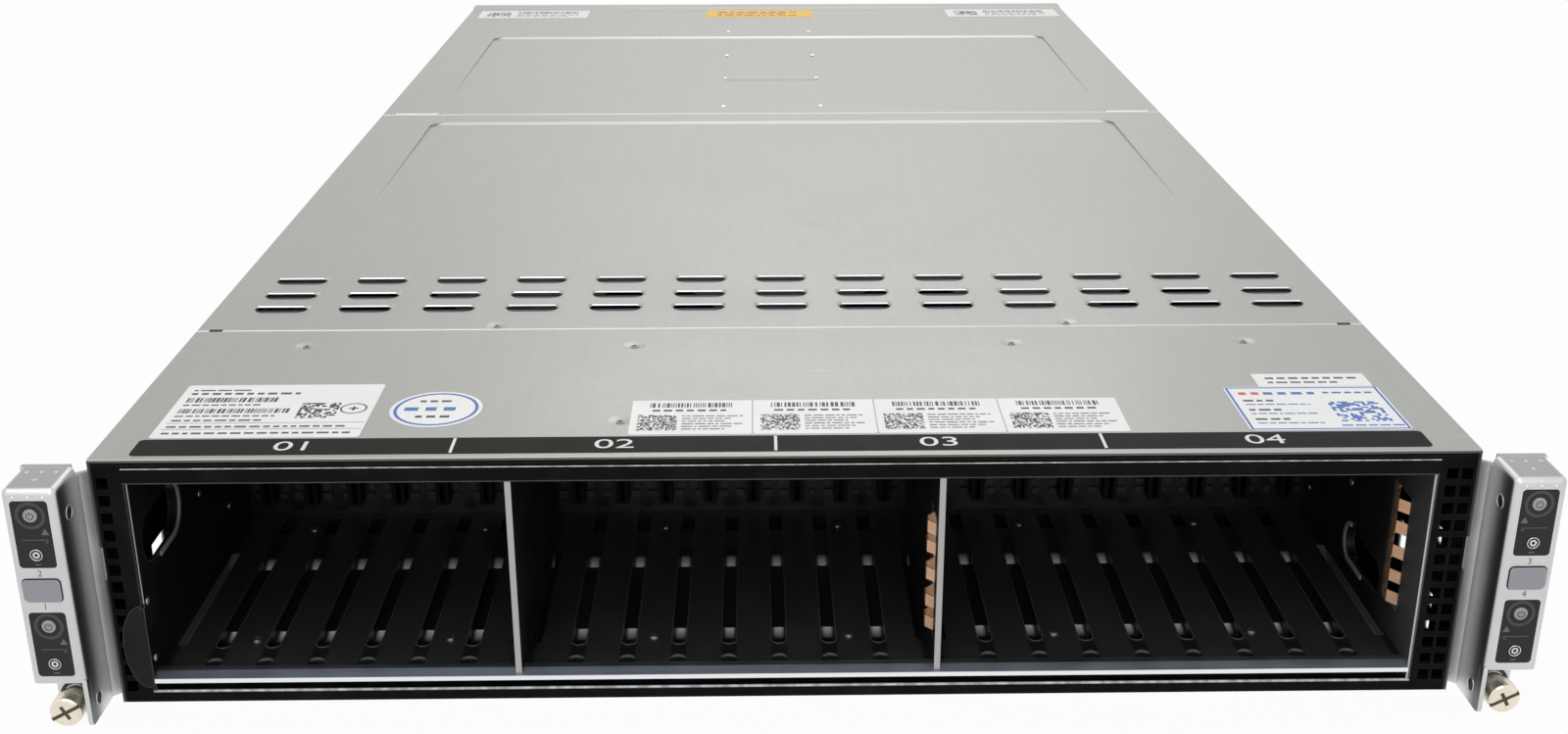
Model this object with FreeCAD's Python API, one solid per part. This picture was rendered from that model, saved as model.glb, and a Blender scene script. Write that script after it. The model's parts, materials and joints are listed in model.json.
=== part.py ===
import FreeCAD, Part
import math
import os

from FreeCAD import Vector

# A two-unit rack server with four node sleds behind and an open drive cage in front.
# X runs right seen from the front, Y to the rear, Z up. The origin is on the underside,
# on the centre line, at the rack plane (the rear face of the ears). Sizes in millimetres.

# Body
BODY_W = 440.0
BODY_H = 87.5
BODY_D = 835.0
SHEET = 1.0
FRAME_LEAD = 3.0
FIT = 0.3

# Top panels, measured from the frame face
SEAM_1 = 117.8
SEAM_2 = 475.0
SEAM_GAP = 0.8
LIP_H = 9.0
LIP_SETBACK = 8.0
COVER_BEND = 0.5
SEAM_NOTCH_X = 213.0
SEAM_NOTCH_W = 5.0
SEAM_NOTCH_D = 1.6
LOUVRE_COLUMNS = 13
LOUVRE_PITCH = 32.4
LOUVRE_L = 21.5
LOUVRE_ROWS = (145.0, 161.0, 179.5)
LOUVRE_D = 5.0
LOUVRE_RISE = 1.2
LOUVRE_SKIN = 0.5
LOUVRE_TAPER = 2.2
LOUVRE_END_SKIN = 0.8
LOUVRE_BROW = 0.35
SCOOP_D = 4.4
SCOOP_DIP = 0.35
DISH_W = 378.0
DISH_DEPTH = 0.9
DISH_RAMP = 2.4
DISH_ROUND = 8.0
MIDDLE_DISH = (283.0, 456.0)
REAR_DISH = (500.0, 710.0)
HEM_D = 12.0
HEM_RAMP = 2.4
HEM_RISE = 1.1
PANEL_DIMPLES = ((-175.0, 101.6), (-54.7, 100.0), (84.0, 100.5), (170.0, 100.7), (-55.0, 29.0))
COVER_DIMPLES = ((-108.0, 122.6), (108.0, 122.6))
DIMPLE_R = 4.2
DIMPLE_FLOOR_R = 1.6
DIMPLE_DEPTH = 0.5

# Front frame
FRAME_T = 2.0
FRAME_BEND = 1.0
FRAME_TOP_BEND = 1.4
FRAME_LIP_T = 0.5
FRAME_LIP_DROP = 2.9
FRAME_LIP_BEND = 0.4
OPENING_DROP = 8.5
OPENING_BOTTOM = 4.2
VENT_W = 3.8
VENT_H = 4.1
VENT_ROWS = 13
VENT_DROP = 6.1
VENT_BOTTOM = 3.9
VENT_EDGE = 3.8
VENT_COLUMN = 4.8
EDGE_NOTCH = (45.0, 57.0)
EDGE_NOTCH_D = 1.5
SIDE_WINDOW_Y = (41.0, 54.0)
SIDE_WINDOW_Z = (26.0, 37.0)
SIDE_SLOT_Y = (18.6, 22.6)
SIDE_SLOTS_Z = ((11.5, 16.0), (20.5, 25.5), (44.5, 50.5))

# Drive cage
LEFT_MARGIN = 11.5
RIGHT_MARGIN = 14.0
CAGE_D = 122.0
CAGE_WALL = 1.2
FLOOR_Z = 9.5
ROOF_DROP = 7.0
EDGE_INSET = 0.2
LEFT_BAY_W = 118.5
MIDDLE_BAY_W = 136.1
DIVIDER_T = 2.0
SLOT_COUNT = (7, 8, 9)
GUIDE_W = 4.7
GUIDE_HOLE = (18.0, 27.0)
GUIDE_LOW = (35.0, 81.0)
GUIDE_END = 89.0
GUIDE_DEPTH = 3.4
GUIDE_DIP = 1.6
GUIDE_TAIL = (104.0, 118.0)
GUIDE_TAIL_W = 5.0
EDGE_GUIDE_W = 3.0
EDGE_GUIDE_GAP = 1.3
EDGE_GUIDE_RAMP = (20.0, 26.0)
DRAIN_Y = 8.5
DRAIN_R = 3.0
FLOOR_LEG_Y = 12.5
ROOF_GUIDE_Y = 18.0
ROOF_GUIDE_END = 10.0
ROOF_GUIDE_H = 1.0
SILL_D = 5.2
SILL_T = 0.9
SILL_BEND = 2.6
SILL_FALL = 1.4
SILL_LIP = 1.6
LEFT_HOLE_Y = (6.0, 42.0)
LEFT_HOLE_Z = (45.8, 63.0)
RIGHT_HOLE_Y = (34.0, 70.0)
RIGHT_HOLE_Z = (16.5, 28.5)
RIM_T = 1.0
RIM_H = 2.0
TONGUE_Z = (5.7, 36.0)
TONGUE_REACH = 7.2
TONGUE_T = 0.8
FINGER_T = 0.35
FINGER_BULGE = 2.4
FINGER_H = 4.4
WALL_FINGER_SPAN = (16.0, 28.0)
DIVIDER_FINGER_SPAN = (7.0, 18.0)
WALL_FINGERS = (25.0, 33.0, 42.0, 51.0, 59.0)
DIVIDER_FINGERS = (22.0, 30.0, 40.0, 50.0, 57.0)
FINGER_MARGIN = 4.0
FINGER_SPINE = 3.0

# Drive backplane
BOARD_T = 2.4
PORT_W = 5.0
PORT_D = 7.0
PORT_Z = (16.0, 50.0)
PORT_SLOT = 1.8
AIR_SLOT_W = 7.0
AIR_SLOT_H = 20.0
AIR_SLOT_DROP = 4.5

# Fans
FAN_HEADROOM = 3.5
FAN_D = 38.0
FAN_COUNT = 4
FAN_Y = 197.0
FAN_RIM = 2.0
FAN_BOSS = 16.0
FAN_BOSS_T = 5.0
FAN_STRUT = 3.0
FAN_SHAFT = 2.0
SHAFT_GAP = 0.05
HUB_R = 15.5
HUB_L = 27.0
BLADES = 7
BLADE_T = 1.6
BLADE_CHORD = 26.0
BLADE_ANGLE = 48.0
TIP_GAP = 2.8

# Midplane, power board and node bay
MIDPLANE_Y = 262.0
MIDPLANE_DROP = 9.5
MIDPLANE_PORT = (60.0, 9.0, 8.0)
MIDPLANE_WINDOW = (44.0, 20.0)
BAY_GAP = 10.0
POWER_BOARD_GAP = 14.0
POWER_PORT = (48.0, 14.0, 9.0)

# Node sleds
SLED_GAP = 28.0
SLED_WALL_H = 30.0
SLED_BOARD_T = 1.6
STANDOFF = 4.0
STANDOFF_W = 6.0
BOARD_MARGIN = 4.0
SINK_L = 88.0
SINK_W = 76.0
SINK_BASE = 4.0
SINK_FINS = 19
SINK_FIN_T = 1.2
SINK_TOP_GAP = 3.0
SINK_SETBACK = (65.0, 255.0)
DIMM_L = 133.0
DIMM_H = 28.0
DIMM_T = 4.0
DIMM_PITCH = 9.5
DIMM_COUNT = 4
IO_PORT_D = 18.0
IO_PROUD = 0.6
IO_PORTS = ((16.0, 13.5), (14.0, 14.5), (31.0, 12.5), (16.0, 13.5), (16.0, 13.5))
IO_START = 10.0
IO_LATCH_GAP = 5.0
IO_FIT = 0.4
SLED_VENT_COUNT = 22
SLED_VENT_W = 3.2
SLED_VENT_H = 12.0
SLED_VENT_PITCH = 5.4
SLED_VENT_START = 12.0
HANDLE_INSET = 27.4
HANDLE_W = 30.0
HANDLE_REACH = 24.0
HANDLE_T = 2.5
HANDLE_H = 12.0
LATCH_TO_HANDLE = 21.5
PSU_LATCH_X = 7.5

# Sprung latches of sleds and power supplies
LATCH_ARM = 18.0
LATCH_T = 2.0
LATCH_H = 12.0
LATCH_PAD = 5.0
KNUCKLE_R = 3.0
PIN_R = 1.5
LUG_T = 1.6
KNUCKLE_OUT = 4.5

# Power supplies
PSU_W = 73.5
PSU_SIDE_GAP = 1.25
PSU_L = 265.0
PSU_WALL = 1.2
INLET = (29.0, 22.0)
INLET_INSET = 19.5
INLET_DEPTH = 16.0
INLET_PIN = (2.0, 6.0)
INLET_PIN_PITCH = 7.2
INLET_PIN_DROP = 2.2
INLET_PIN_SHY = 4.0
INLET_ROUND = 3.6
PSU_VENT_COLUMNS = 5
PSU_VENT_ROWS = 4
PSU_VENT = 4.2
PSU_VENT_PITCH = 6.0
PSU_VENT_X = 13.5
PSU_HANDLE_X = 27.0
PSU_HANDLE_W = 24.0

# Ears
EAR_W = 17.0
RACK_HOLE_SHIFT = -0.25
RACK_HOLE_Z = 5.95
EAR_LEAD = 16.0
EAR_DROP = 2.5
EAR_BASE = 0.5
EAR_BOX_Z = 17.0
EAR_WALL = 1.5
EAR_GAP = 4.3
EAR_TAIL = 18.0
EAR_BACK = 2.0
EAR_ROUND = 2.3
EAR_CORNER = 3.0
EAR_SIDE_DROP = 3.4
EAR_SIDE_SETBACK = 3.4
JOGGLE = 3.5
PANEL_SHIFT = 0.2
PANEL_MARGIN = 2.7
PANEL_UP = 2.6
PANEL_DROP = 3.8
PANEL_GAP = 15.6
PANEL_ROUND = 1.3
PANEL_RIM = 0.9
PLATE_H = 7.7
PLATE_T = 0.5
BUTTON_FIT = 0.15
POWER_R = 2.2
POWER_DOWN = 5.0
UID_R = 2.0
UID_UP = 4.6
BUTTON_PROUD = 0.5
BUTTON_L = 4.6
BUTTON_FLANGE = 0.8
BUTTON_FLANGE_T = 1.0
SCREW_HEAD_R = 5.2
SCREW_HEAD_L = 6.5
SCREW_NECK_R = 4.0
SCREW_R = 2.5
SCREW_SHANK_R = 2.1
SCREW_THREAD_GAP = 0.6
SCREW_REACH = 10.0
SCREW_SLOT_W = 1.2
SCREW_SLOT_D = 1.6
SCREW_TURN = -28.0

# Places worked out from the sizes
SIDE = BODY_W / 2
INNER = SIDE - SHEET
FRONT = -FRAME_LEAD
REAR = FRONT + BODY_D
DECK = BODY_H - SHEET
HEAD = DECK - DISH_DEPTH
OPENING_TOP = BODY_H - OPENING_DROP
VENT_TOP = BODY_H - VENT_DROP
VENT_PITCH = (VENT_TOP - VENT_BOTTOM - VENT_H) / (VENT_ROWS - 1)
VENT_XS = (VENT_EDGE - SIDE, SIDE - VENT_EDGE - VENT_COLUMN, SIDE - VENT_EDGE)
CAGE_LEFT = LEFT_MARGIN - SIDE
CAGE_RIGHT = SIDE - RIGHT_MARGIN
ROOF_Z = BODY_H - ROOF_DROP
LEFT_DIVIDER = CAGE_LEFT + LEFT_BAY_W + DIVIDER_T / 2
RIGHT_DIVIDER = LEFT_DIVIDER + MIDDLE_BAY_W + DIVIDER_T
DIVIDERS = (LEFT_DIVIDER, RIGHT_DIVIDER)
AIR_SLOT_Z = (ROOF_Z - AIR_SLOT_DROP - AIR_SLOT_H, ROOF_Z - AIR_SLOT_DROP)
FAN_CAGE_HALF = INNER - SHEET - 2 * FIT
FAN_SIZE = DECK - FAN_HEADROOM - 3 * SHEET
FAN_PITCH = 2 * FAN_CAGE_HALF / FAN_COUNT
FAN_BORE = FAN_SIZE / 2 - FAN_RIM
FAN_Z = 2 * SHEET + FAN_SIZE / 2
BLADE_TIP = FAN_BORE - TIP_GAP
BAY_Y = MIDPLANE_Y + BAY_GAP
SLED_Y = MIDPLANE_Y + SLED_GAP
POWER_BOARD_END = BODY_D - PSU_L - POWER_BOARD_GAP
TUNNEL = PSU_W / 2 + PSU_SIDE_GAP
SHELF_Z = HEAD / 2
SLED_W = INNER - TUNNEL - SHEET - 2 * FIT
SLED_H = SHELF_Z - SHEET - 2 * FIT
SLED_BOARD_Z = SHEET + STANDOFF
HANDLE_X = SLED_W - HANDLE_INSET
LATCH_X = HANDLE_X - LATCH_TO_HANDLE
LATCH_Z = (SLED_H - LATCH_H) / 2
PSU_H = SLED_H
INLET_X = PSU_W - INLET_INSET
EAR_FACE = FRONT - EAR_LEAD
EAR_IN = SIDE + EAR_GAP
EAR_OUT = EAR_IN + EAR_W
EAR_TOP = BODY_H - EAR_DROP
RACK_HOLE_X = EAR_IN + EAR_W / 2 + RACK_HOLE_SHIFT
PANEL_X = EAR_IN + EAR_W / 2 + PANEL_SHIFT
PANEL_W = EAR_W - 2 * PANEL_MARGIN
PANEL_LOW = EAR_BOX_Z + PANEL_UP
PANEL_H = (EAR_TOP - PANEL_DROP - PANEL_LOW - PANEL_GAP) / 2
PANEL_STARTS = (PANEL_LOW, PANEL_LOW + PANEL_H + PANEL_GAP)
PLATE_Z = PANEL_LOW + PANEL_H + (PANEL_GAP - PLATE_H) / 2

AXES = {"xy": Vector(0, 0, 1), "xz": Vector(0, 1, 0), "yz": Vector(1, 0, 0)}


# Small shape helpers
def place(plane, u, v, height):
    if plane == "xy":
        return Vector(u, v, height)
    if plane == "xz":
        return Vector(u, height, v)
    return Vector(height, u, v)


def extrude(outline, plane, start, end):
    points = [place(plane, u, v, start) for u, v in outline]
    wire = Part.makePolygon(points + points[:1])
    return Part.Face(wire).extrude(AXES[plane] * (end - start))


def block(x, y, z):
    return Part.makeBox(x[1] - x[0], y[1] - y[0], z[1] - z[0], Vector(x[0], y[0], z[0]))


def rounded(u, v, radius, plane, start, end):
    outline = [(u[0], v[0]), (u[1], v[0]), (u[1], v[1]), (u[0], v[1])]
    solid = extrude(outline, plane, start, end)
    largest = 0.49 * min(u[1] - u[0], v[1] - v[0])
    corners = [e for e in solid.Edges if abs(direction(e).dot(AXES[plane])) > 0.99]
    return solid.makeFillet(min(radius, largest), corners)


def direction(edge):
    along = edge.Vertexes[-1].Point - edge.Vertexes[0].Point
    return along.normalize()


def bar(radius, centre, axis, start, end):
    origin = place({"x": "yz", "y": "xz", "z": "xy"}[axis], centre[0], centre[1], start)
    along = {"x": Vector(1, 0, 0), "y": Vector(0, 1, 0), "z": Vector(0, 0, 1)}[axis]
    return Part.makeCylinder(radius, end - start, origin, along)


def strip(line, thickness):
    """Outline of a folded sheet: the line is one face, the other lies a thickness to its left."""
    other = []
    for i, (u, v) in enumerate(line):
        normals = []
        for a, b in ((i - 1, i), (i, i + 1)):
            if 0 <= a and b < len(line):
                du, dv = line[b][0] - line[a][0], line[b][1] - line[a][1]
                length = math.hypot(du, dv)
                normals.append((-dv / length, du / length))
        mu, mv = sum(n[0] for n in normals), sum(n[1] for n in normals)
        scale = thickness * len(normals) / (mu * mu + mv * mv)
        other.append((u + mu * scale, v + mv * scale))
    return list(line) + other[::-1]


def joined(shapes):
    whole = shapes[0]
    if len(shapes) > 1:
        whole = whole.multiFuse(shapes[1:])
    return whole.removeSplitter()


def mirrored(shape):
    return shape.mirror(Vector(0, 0, 0), Vector(1, 0, 0))


def moved(shape, x, y, z):
    copy = shape.copy()
    copy.translate(Vector(x, y, z))
    return copy


# Folded body tray with the cut-outs in its two sides
def chassis_base():
    section = [(-INNER, DECK), (-SIDE, DECK), (-SIDE, 0), (SIDE, 0), (SIDE, DECK), (INNER, DECK),
               (INNER, SHEET), (-INNER, SHEET)]
    tray = extrude(section, "xz", FRONT, REAR)
    cuts = [block((-INNER, INNER), (FRONT, FRONT + FRAME_T), (0, SHEET))]
    for wall in ((-SIDE, -INNER), (INNER, SIDE)):
        cuts.append(block(wall, (FRONT, FRONT + EDGE_NOTCH_D), EDGE_NOTCH))
        window = (FRONT + SIDE_WINDOW_Y[0], FRONT + SIDE_WINDOW_Y[1])
        cuts.append(block(wall, window, SIDE_WINDOW_Z))
        slot = (FRONT + SIDE_SLOT_Y[0], FRONT + SIDE_SLOT_Y[1])
        cuts += [block(wall, slot, z) for z in SIDE_SLOTS_Z]
    return tray.cut(cuts)


def plate(start, end):
    """Flat top sheet whose front edge is turned down in a small bend."""
    sheet = block((-SIDE, SIDE), (FRONT + start, FRONT + end), (DECK, BODY_H))
    return sheet.makeFillet(min(COVER_BEND, 0.9 * SHEET), cross_edges(sheet, FRONT + start, BODY_H))


def cross_edges(shape, y, z):
    """Edges that run across the object at one depth and height."""
    found = []
    for edge in shape.Edges:
        middle = edge.CenterOfMass
        if abs(direction(edge).x) > 0.99 and abs(middle.y - y) < 1e-6 and abs(middle.z - z) < 1e-6:
            found.append(edge)
    return found


def lips(start, end, clearance):
    outer = INNER - clearance
    run = (FRONT + start + LIP_SETBACK, FRONT + end - LIP_SETBACK)
    left = block((-outer, SHEET - outer), run, (DECK - LIP_H, DECK))
    return [left, mirrored(left)]


def dish(span):
    """A shallow pressed field that deepens to the rear: what it takes off the top and adds below."""
    start, end = FRONT + span[0], FRONT + span[1]
    field = rounded((-DISH_W / 2, DISH_W / 2), (start - DISH_ROUND, end), DISH_ROUND, "xy",
                    DECK - DISH_DEPTH, BODY_H + DISH_DEPTH)
    hollow = [(start, BODY_H), (end, BODY_H), (end - DISH_RAMP, BODY_H - DISH_DEPTH)]
    belly = [(start, DECK), (end, DECK), (end - DISH_RAMP, DECK - DISH_DEPTH)]
    cut = extrude(hollow, "yz", -DISH_W / 2, DISH_W / 2).common(field)
    add = extrude(belly, "yz", -DISH_W / 2, DISH_W / 2).common(field)
    return cut, add


def wedge(front, rear, half, taper, low, high):
    """Hood of a louvre: a front trapezium that runs down to a straight rear edge."""
    a, b = Vector(-half, front, low), Vector(half, front, low)
    c, d = Vector(half - taper, front, high), Vector(taper - half, front, high)
    e, f = Vector(half, rear, low), Vector(-half, rear, low)
    faces = []
    for corners in ((a, b, c, d), (a, f, e, b), (d, c, e, f), (a, d, f), (b, e, c)):
        faces.append(Part.Face(Part.makePolygon(list(corners) + [corners[0]])))
    solid = Part.Solid(Part.Shell(faces))
    return solid if solid.Volume > 0 else solid.reversed()


def louvres():
    """Pressed hoods over scooped mouths: what they add to the sheet and what they cut away."""
    added, cuts = [], []
    top = BODY_H + LOUVRE_RISE
    crest = top - LOUVRE_SKIN
    peak = LOUVRE_RISE / (1 - LOUVRE_BROW / LOUVRE_D)
    half = LOUVRE_L / 2
    base = half - LOUVRE_END_SKIN
    brow = base - LOUVRE_TAPER * (crest - BODY_H) / peak
    mouth = [(-base, DECK), (base, DECK), (base, BODY_H), (brow, crest), (-brow, crest), (-base, BODY_H)]
    for row in LOUVRE_ROWS:
        front, rear = FRONT + row - LOUVRE_D / 2, FRONT + row + LOUVRE_D / 2
        bevel = [(front - SHEET, top - LOUVRE_BROW - SHEET), (front + 2 * LOUVRE_BROW, top + LOUVRE_BROW),
                 (front - SHEET, top + LOUVRE_BROW)]
        hood = wedge(front, rear, half, LOUVRE_TAPER, BODY_H, BODY_H + peak)
        hood = hood.cut(extrude(bevel, "yz", -half, half))
        inside = [(front, DECK), (front, BODY_H), (front - SHEET, BODY_H), (front - SHEET, crest),
                  (front, crest), (rear, BODY_H - LOUVRE_SKIN), (rear, DECK)]
        slot = extrude(inside, "yz", -base, base).common(extrude(mouth, "xz", front - SHEET, rear))
        fall = [(front - SCOOP_D, BODY_H), (front, BODY_H - SCOOP_DIP), (front, BODY_H)]
        field = rounded((-base, base), (front - SCOOP_D, front + SCOOP_D), SCOOP_D, "xy", DECK, BODY_H)
        scoop = extrude(fall, "yz", -base, base).common(field)
        for column in range(LOUVRE_COLUMNS):
            x = (column - (LOUVRE_COLUMNS - 1) / 2) * LOUVRE_PITCH
            added += [moved(hood, x, 0, 0), moved(scoop, x, 0, -SHEET)]
            cuts += [moved(slot, x, 0, 0), moved(scoop, x, 0, 0)]
    return added, cuts


def dimples(places):
    """Small cone-shaped seats for the countersunk screws of the top."""
    return [Part.makeCone(DIMPLE_R, DIMPLE_FLOOR_R, DIMPLE_DEPTH, Vector(x, FRONT + y, BODY_H),
                          Vector(0, 0, -1)) for x, y in places]


def front_top_panel():
    end = SEAM_1 - SEAM_GAP / 2
    panel = joined([plate(0, end)] + lips(FRAME_T + LIP_SETBACK, end, 0))
    return panel.cut(dimples(PANEL_DIMPLES))


def middle_cover():
    start, end = SEAM_1 + SEAM_GAP / 2, SEAM_2 - SEAM_GAP / 2
    cut, add = dish(MIDDLE_DISH)
    hoods, cuts = louvres()
    cover = joined([plate(start, end)] + lips(start, end, FIT) + [add])
    for x in (-SEAM_NOTCH_X, SEAM_NOTCH_X):
        span = (x - SEAM_NOTCH_W / 2, x + SEAM_NOTCH_W / 2)
        cuts.append(block(span, (FRONT + start, FRONT + start + SEAM_NOTCH_D), (DECK, BODY_H)))
    return cover.cut(cut).multiFuse(hoods).cut(cuts + dimples(COVER_DIMPLES))


def rear_cover():
    start = SEAM_2 + SEAM_GAP / 2
    cut, add = dish(REAR_DISH)
    hem = [(REAR - HEM_D - HEM_RAMP, BODY_H), (REAR, BODY_H), (REAR, BODY_H + HEM_RISE),
           (REAR - HEM_D, BODY_H + HEM_RISE)]
    add = [add, extrude(hem, "yz", -SIDE, SIDE)]
    return joined([plate(start, BODY_D)] + lips(start, BODY_D - LIP_SETBACK, 0) + add).cut(cut)


# Black front frame with square vents beside the opening
def front_frame():
    face = block((-INNER, INNER), (FRONT, FRONT + FRAME_T), (0, DECK))
    across = (CAGE_LEFT - CAGE_WALL, CAGE_RIGHT + CAGE_WALL)
    proud, lip_top = FRONT - FRAME_LIP_T, BODY_H - FRAME_LIP_DROP
    frame = face.cut(block(across, (FRONT, FRONT + FRAME_T), (OPENING_BOTTOM, lip_top)))
    frame = frame.makeFillet(FRAME_BEND, cross_edges(frame, FRONT, OPENING_BOTTOM))
    frame = frame.makeFillet(FRAME_TOP_BEND, cross_edges(frame, FRONT, DECK))
    lip = block(across, (proud, FRONT + FRAME_T), (OPENING_TOP, lip_top))
    lip = lip.makeFillet(FRAME_BEND, cross_edges(lip, proud, OPENING_TOP))
    lip = lip.makeFillet(FRAME_LIP_BEND, cross_edges(lip, proud, lip_top))
    frame = joined([frame, lip])
    holes = []
    for x in VENT_XS:
        for row in range(VENT_ROWS):
            top = VENT_TOP - row * VENT_PITCH
            span = (x - VENT_W / 2, x + VENT_W / 2)
            holes.append(block(span, (FRONT, FRONT + FRAME_T), (top - VENT_H, top)))
    return frame.cut(holes)


# Drive cage
def bay_spans():
    """Clear width of each bay between the walls and the dividers."""
    left = (CAGE_LEFT,) + tuple(x + DIVIDER_T / 2 for x in DIVIDERS)
    right = tuple(x - DIVIDER_T / 2 for x in DIVIDERS) + (CAGE_RIGHT,)
    return list(zip(left, right))


def slot_lines():
    """Lines between neighbouring drives, and the middle of each drive slot."""
    lines, middles = [], []
    for (x0, x1), count in zip(bay_spans(), SLOT_COUNT):
        pitch = (x1 - x0) / count
        lines += [x0 + i * pitch for i in range(1, count)]
        middles += [x0 + (i + 0.5) * pitch for i in range(count)]
    return lines, middles


def groove(x, width, line):
    """A pressed groove along a line in side view: the belly that it adds below the floor, and its hollow."""
    under, near = FLOOR_Z - SHEET, line[0][0]
    belly = [(y, z - SHEET) for y, z in line]
    hollow = list(line)
    if line[0][1] < FLOOR_Z:
        belly.insert(0, (near, under))
        hollow.insert(0, (near, FLOOR_Z))
    half = width / 2
    outer = half + SHEET
    return extrude(belly, "yz", x - outer, x + outer), extrude(hollow, "yz", x - half, x + half)


def guide(x):
    """One drive guide: a round-ended hole, a ramp up into a groove, a ramp out of it and a slot behind."""
    low = FLOOR_Z - GUIDE_DEPTH
    line = [(FRONT + GUIDE_HOLE[1], low - GUIDE_DIP), (FRONT + GUIDE_LOW[0], low),
            (FRONT + GUIDE_LOW[1], low), (FRONT + GUIDE_END, FLOOR_Z)]
    half, sheet = GUIDE_W / 2, (FLOOR_Z - SHEET, FLOOR_Z)
    centre = FRONT + GUIDE_HOLE[0] + half
    round_end = bar(half, (x, centre), "z", sheet[0], sheet[1])
    run = block((x - half, x + half), (centre, FRONT + GUIDE_HOLE[1]), sheet)
    drain = bar(DRAIN_R, (x, FRONT + DRAIN_Y), "z", sheet[0], sheet[1])
    tail = block((x - GUIDE_TAIL_W / 2, x + GUIDE_TAIL_W / 2),
                 (FRONT + GUIDE_TAIL[0], FRONT + GUIDE_TAIL[1]), sheet)
    return groove(x, GUIDE_W, line), [round_end, run, drain, tail]


def edge_guides():
    """Narrow grooves beside the walls and dividers."""
    low = FLOOR_Z - GUIDE_DEPTH
    line = [(FRONT + EDGE_GUIDE_RAMP[0], FLOOR_Z), (FRONT + EDGE_GUIDE_RAMP[1], low),
            (FRONT + GUIDE_LOW[1], low), (FRONT + GUIDE_END, FLOOR_Z)]
    inset = EDGE_GUIDE_GAP + EDGE_GUIDE_W / 2
    places = [x for x0, x1 in bay_spans() for x in (x0 + inset, x1 - inset)]
    return [groove(x, EDGE_GUIDE_W, line) for x in places]


def cage_floor():
    front, under = FRONT + SILL_BEND + FIT, FLOOR_Z - SHEET
    section = [(FRONT + FLOOR_LEG_Y, SHEET), (FRONT + FLOOR_LEG_Y, under), (front, under),
               (front, FLOOR_Z), (FRONT + CAGE_D, FLOOR_Z), (FRONT + CAGE_D, SHEET),
               (FRONT + CAGE_D - SHEET, SHEET), (FRONT + CAGE_D - SHEET, under),
               (FRONT + FLOOR_LEG_Y + SHEET, under), (FRONT + FLOOR_LEG_Y + SHEET, SHEET)]
    floor = extrude(section, "yz", CAGE_LEFT, CAGE_RIGHT)
    grooves, holes = edge_guides(), []
    for x in slot_lines()[0]:
        pressed, cuts = guide(x)
        grooves.append(pressed)
        holes += cuts
    bellies, hollows = zip(*grooves)
    return floor.cut(holes).multiFuse(list(bellies)).cut(list(hollows)).removeSplitter()


def cage_roof():
    sheet = block((CAGE_LEFT - CAGE_WALL, CAGE_RIGHT + CAGE_WALL), (FRONT + FRAME_T, FRONT + CAGE_D),
                  (ROOF_Z, ROOF_Z + SHEET))
    ribs = []
    for x in slot_lines()[0]:
        half = GUIDE_W / 2
        section = [(x - half, ROOF_Z), (x + ROOF_GUIDE_H - half, ROOF_Z - ROOF_GUIDE_H),
                   (x + half - ROOF_GUIDE_H, ROOF_Z - ROOF_GUIDE_H), (x + half, ROOF_Z)]
        ribs.append(extrude(section, "xz", FRONT + ROOF_GUIDE_Y, FRONT + CAGE_D - ROOF_GUIDE_END))
    return joined([sheet] + ribs)


def upright(bottom):
    """Side outline of a wall or divider, notched behind the top rim of the frame."""
    return [(FRONT + EDGE_INSET, bottom), (FRONT + EDGE_INSET, OPENING_TOP), (FRONT + FRAME_T, OPENING_TOP),
            (FRONT + FRAME_T, ROOF_Z), (FRONT + CAGE_D, ROOF_Z), (FRONT + CAGE_D, bottom)]


def hand_hole(y, z, inner, outward):
    """A round-ended opening in a cage wall, with a turned rim outside round its rear end."""
    span = (FRONT + y[0], FRONT + y[1])
    radius = (z[1] - z[0]) / 2
    far = inner + outward * (CAGE_WALL + RIM_H)
    low, high = min(inner, far), max(inner, far)
    hole = rounded(span, z, radius, "yz", low, high)
    grown = rounded((span[0] - RIM_T, span[1] + RIM_T), (z[0] - RIM_T, z[1] + RIM_T), radius + RIM_T,
                    "yz", low, high)
    rear_end = block((low, high), (span[1] - radius, span[1] + RIM_T), (z[0] - RIM_T, z[1] + RIM_T))
    return hole, grown.common(rear_end)


def cage_left_wall():
    wall = extrude(upright(OPENING_BOTTOM), "yz", CAGE_LEFT - CAGE_WALL, CAGE_LEFT)
    hole, rim = hand_hole(LEFT_HOLE_Y, LEFT_HOLE_Z, CAGE_LEFT, -1)
    middle, half = sum(TONGUE_Z) / 2, (TONGUE_Z[1] - TONGUE_Z[0]) / 2
    ellipse = Part.Ellipse(Vector(CAGE_LEFT - CAGE_WALL, FRONT - TONGUE_T, middle), half, TONGUE_REACH)
    ellipse.Axis = Vector(0, 1, 0)
    ellipse.XAxis = Vector(0, 0, 1)
    tongue = Part.Face(Part.Wire(ellipse.toShape())).extrude(Vector(0, TONGUE_T, 0))
    right_half = block((CAGE_LEFT - CAGE_WALL, CAGE_LEFT + TONGUE_REACH), (FRONT - TONGUE_T, FRONT),
                       TONGUE_Z)
    neck = block((CAGE_LEFT - CAGE_WALL, CAGE_LEFT), (FRONT - TONGUE_T, FRONT + EDGE_INSET),
                 (TONGUE_Z[0] + SHEET, TONGUE_Z[1] - SHEET))
    return joined([wall, rim, tongue.cut(right_half), neck]).cut(hole)


def cage_right_wall():
    wall = extrude(upright(OPENING_BOTTOM), "yz", CAGE_RIGHT, CAGE_RIGHT + CAGE_WALL)
    hole, rim = hand_hole(RIGHT_HOLE_Y, RIGHT_HOLE_Z, CAGE_RIGHT, 1)
    slot = finger_slot(CAGE_RIGHT, CAGE_WALL, WALL_FINGER_SPAN, WALL_FINGERS)
    return joined([wall, rim]).cut([hole, slot])


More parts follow.
